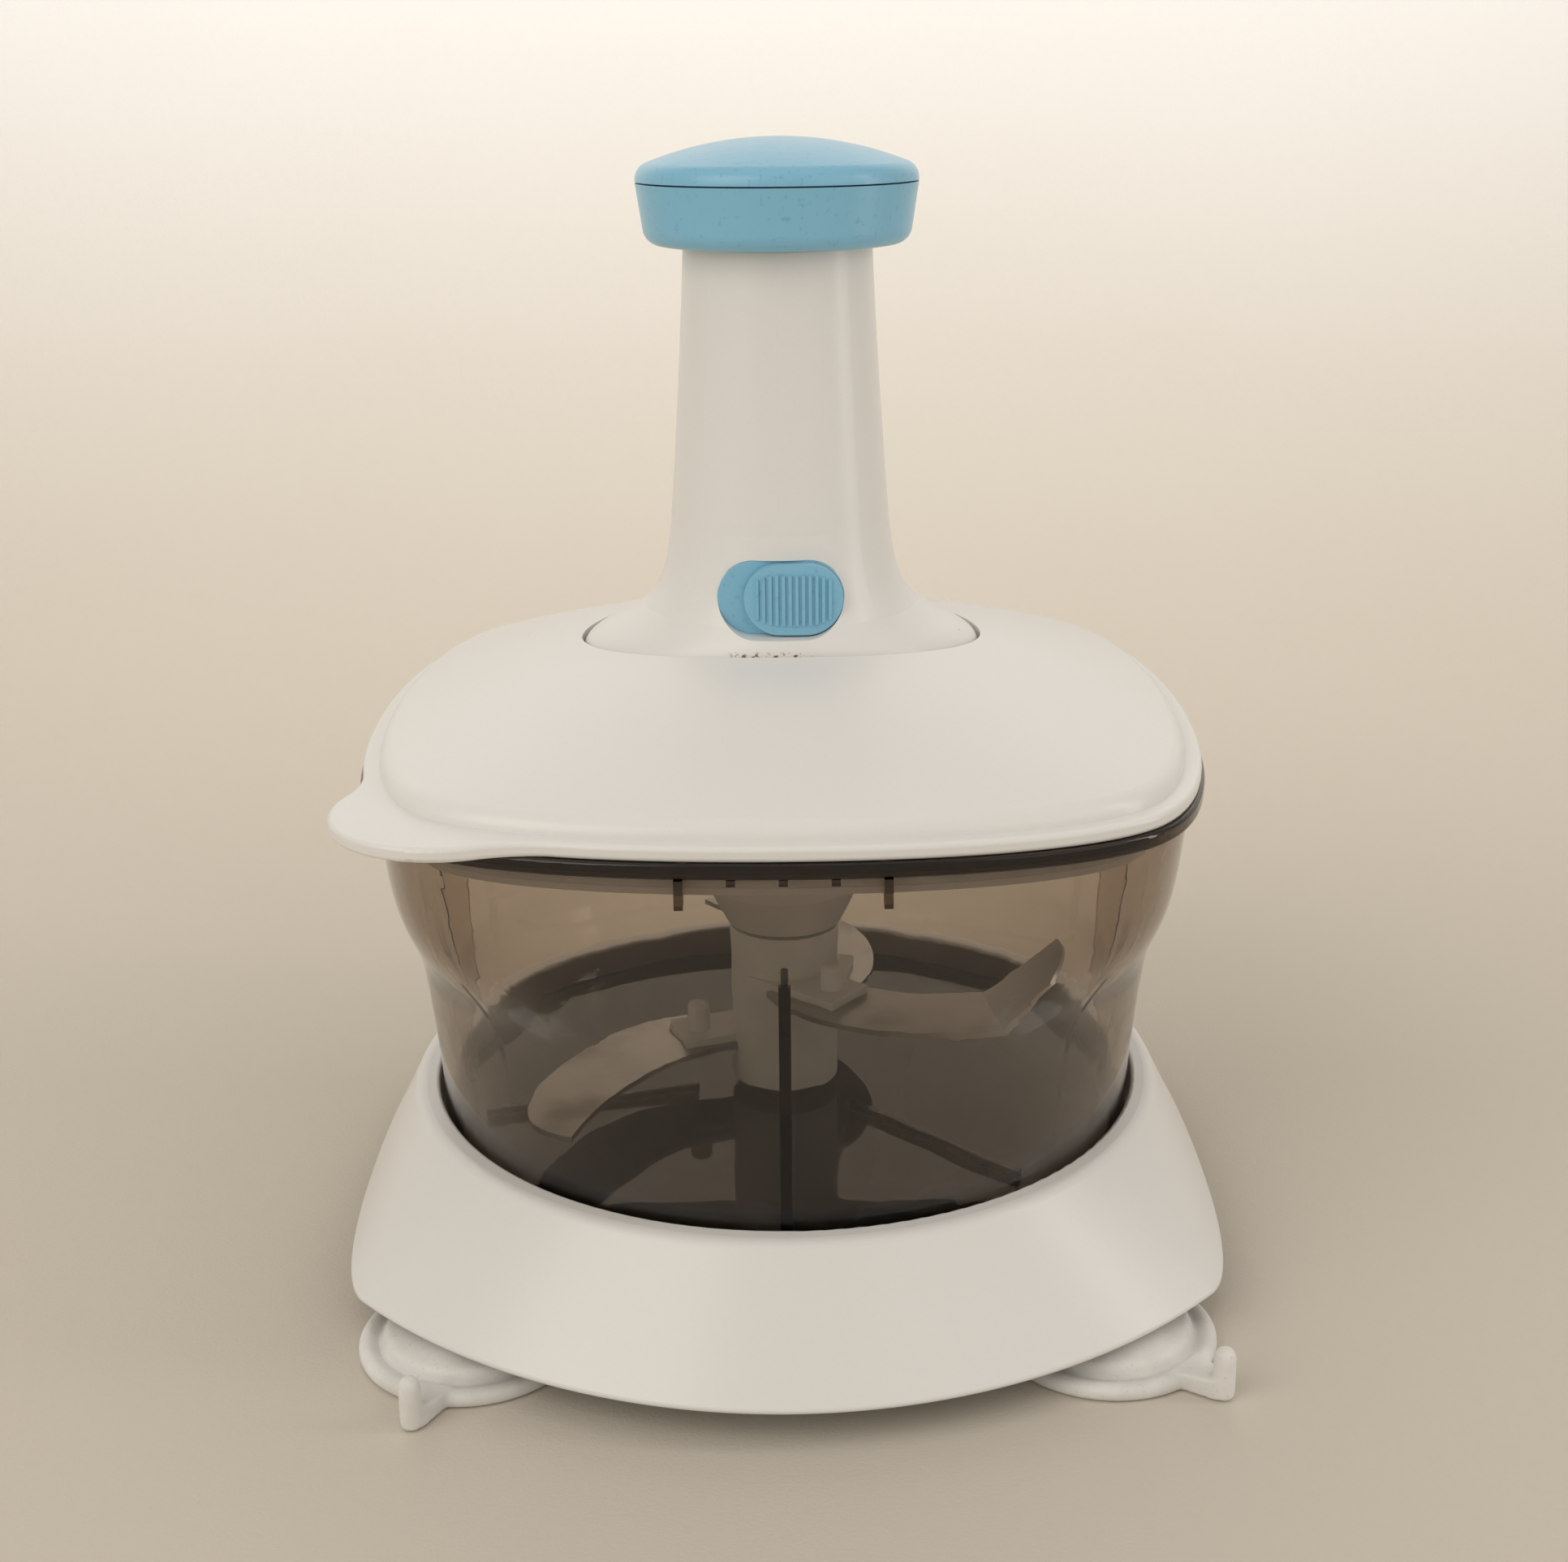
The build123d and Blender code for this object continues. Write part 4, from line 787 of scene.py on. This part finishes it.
print("gasket size in mm:", [round(side / MM, 2) for side in gasket.dimensions])

# %% [markdown]
# The studio is a pale sweep: a floor that curves up into a wall, so no horizon shows behind the
# column. It starts as a plane, its back edge is extruded upwards, and a wide bevel turns the fold
# into the curve.

# %% Backdrop
FLOOR_HALF = 2.2
WALL_PLACE = 0.75
WALL_HEIGHT = 2.4
SWEEP_RADIUS = 0.45
SWEEP_STEPS = 24
ROUND_PROFILE = 0.5
NEAR = 0.01


def at_back(edge):
    return all(floor.data.vertices[end].co.y > WALL_PLACE - NEAR for end in edge.vertices)


def at_fold(edge):
    return at_back(edge) and all(floor.data.vertices[end].co.z < NEAR for end in edge.vertices)


bpy.ops.object.select_all(action="DESELECT")
bpy.ops.mesh.primitive_plane_add(size=2 * FLOOR_HALF, location=(0, WALL_PLACE - FLOOR_HALF, 0))
floor = bpy.context.object
floor.name = "floor"
bpy.ops.object.transform_apply(location=True)
edit_where(floor, "edges", at_back)
bpy.ops.mesh.select_mode(type="EDGE")
bpy.ops.mesh.extrude_region_move(TRANSFORM_OT_translate={"value": (0, 0, WALL_HEIGHT)})
edit_where(floor, "edges", at_fold)
bpy.ops.mesh.bevel(offset=SWEEP_RADIUS, segments=SWEEP_STEPS, profile=ROUND_PROFILE)
bpy.ops.mesh.select_mode(type="VERT")
bpy.ops.object.mode_set(mode="OBJECT")
bpy.ops.object.shade_smooth()
floor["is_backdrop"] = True
print("backdrop faces:", len(floor.data.polygons))

# %% [markdown]
# The backdrop is matt and darker on the floor than on the wall, so the white base stands out from
# what it stands on. The colour fades with the height, with slow patches so that the fade is not too
# even.

# %% Backdrop finish
FLOOR_COLOR = (0.59, 0.525, 0.435, 1)
WALL_COLOR = (0.85, 0.84, 0.82, 1)
FADE_HEIGHTS = (-0.03, 0.4)
BACKDROP_PATCH = 330 * MM
BACKDROP_PATCH_STRENGTH = 0.15
BACKDROP_ROUGHNESS = 0.9
TOOTH_SIZE = 0.8 * MM
TOOTH_DEPTH = 0.1 * MM

backdrop = Finish("backdrop")
patches = backdrop.noise(BACKDROP_PATCH, detail=3.0) * BACKDROP_PATCH_STRENGTH
fade = backdrop.axis(2).step(*FADE_HEIGHTS) + patches
backdrop.set({"Base Color": backdrop.mix(fade, FLOOR_COLOR, WALL_COLOR)})
backdrop.set({"Roughness": BACKDROP_ROUGHNESS})
backdrop.bump(backdrop.noise(TOOTH_SIZE), TOOTH_DEPTH)
floor.data.materials.append(backdrop.material)
print("backdrop finish:", backdrop.material.name)

# %% [markdown]
# Large soft lights do the work, over an even glow from all round. The key stands at the front left
# and gives the form, and a fill at the right keeps the shadows open. The light overhead is weak, so
# the lid does not outshine the upright faces. A tall narrow strip further right draws the upright
# highlight on the column. The last light faces the wall with its back to the chopper, so it
# brightens the wall alone.

# %% Lights
SUBJECT = (0, 0, 0.1)
LIGHTS = {
    "top_light": {
        "place": (0.05, -0.05, 1.3), "target": SUBJECT,
        "size": (1.2, 1.0), "power": 0.8, "color": (1.0, 0.97, 0.93),
    },
    "key_light": {
        "place": (-0.7, -0.75, 0.75), "target": SUBJECT,
        "size": (0.9, 0.9), "power": 5.0, "color": (1.0, 0.96, 0.9),
    },
    "fill_light": {
        "place": (0.8, -0.8, 0.7), "target": SUBJECT,
        "size": (0.9, 0.9), "power": 1.2, "color": (1.0, 0.97, 0.93),
    },
    "strip_light": {
        "place": (0.75, -0.15, 0.35), "target": SUBJECT,
        "size": (0.1, 0.7), "power": 1.0, "color": (1.0, 0.97, 0.94),
    },
    "wall_light": {
        "place": (0, 0.2, 0.8), "target": (0, WALL_PLACE, 0.7),
        "size": (1.6, 0.5), "power": 5.0, "color": (1.0, 0.98, 0.96),
    },
}


def add_light(name, place, target, size, power, color):
    data = bpy.data.lights.new(name, "AREA")
    data.shape = "RECTANGLE"
    data.size, data.size_y = size
    data.energy = power
    data.color = color
    light = bpy.data.objects.new(name, data)
    bpy.context.scene.collection.objects.link(light)
    light.location = place
    direction = Vector(target) - Vector(place)
    light.rotation_euler = direction.to_track_quat("-Z", "Y").to_euler()


for name, settings in LIGHTS.items():
    add_light(name, **settings)
print("lights:", ", ".join(LIGHTS))

# %% [markdown]
# The even glow is the world's own colour, a little warm as in a lit room. The Standard view keeps
# the whites of the plastic as they are, without a film curve.

# %% World
WORLD_COLOR = (1.0, 0.955, 0.89, 1)
WORLD_STRENGTH = 0.53

world = bpy.data.worlds.new("studio")
world.use_nodes = True
glow = world.node_tree.nodes["Background"]
glow.inputs["Color"].default_value = WORLD_COLOR
glow.inputs["Strength"].default_value = WORLD_STRENGTH
bpy.context.scene.world = world
bpy.context.scene.view_settings.view_transform = "Standard"
print("world strength:", WORLD_STRENGTH)

# %% [markdown]
# Last, the box of the dressed chopper is kept beside the box of the frame. They have to agree,
# since the soft pieces take the place of solids of the same size.

# %% Finish
boxes = {"frame": FRAME_BOX, "dressed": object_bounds()}
sizes = {name: [list(corner) for corner in box] for name, box in boxes.items()}
for name, (lowest, highest) in sizes.items():
    print(name, "size in mm:", [round((b - a) / MM, 1) for a, b in zip(lowest, highest)])
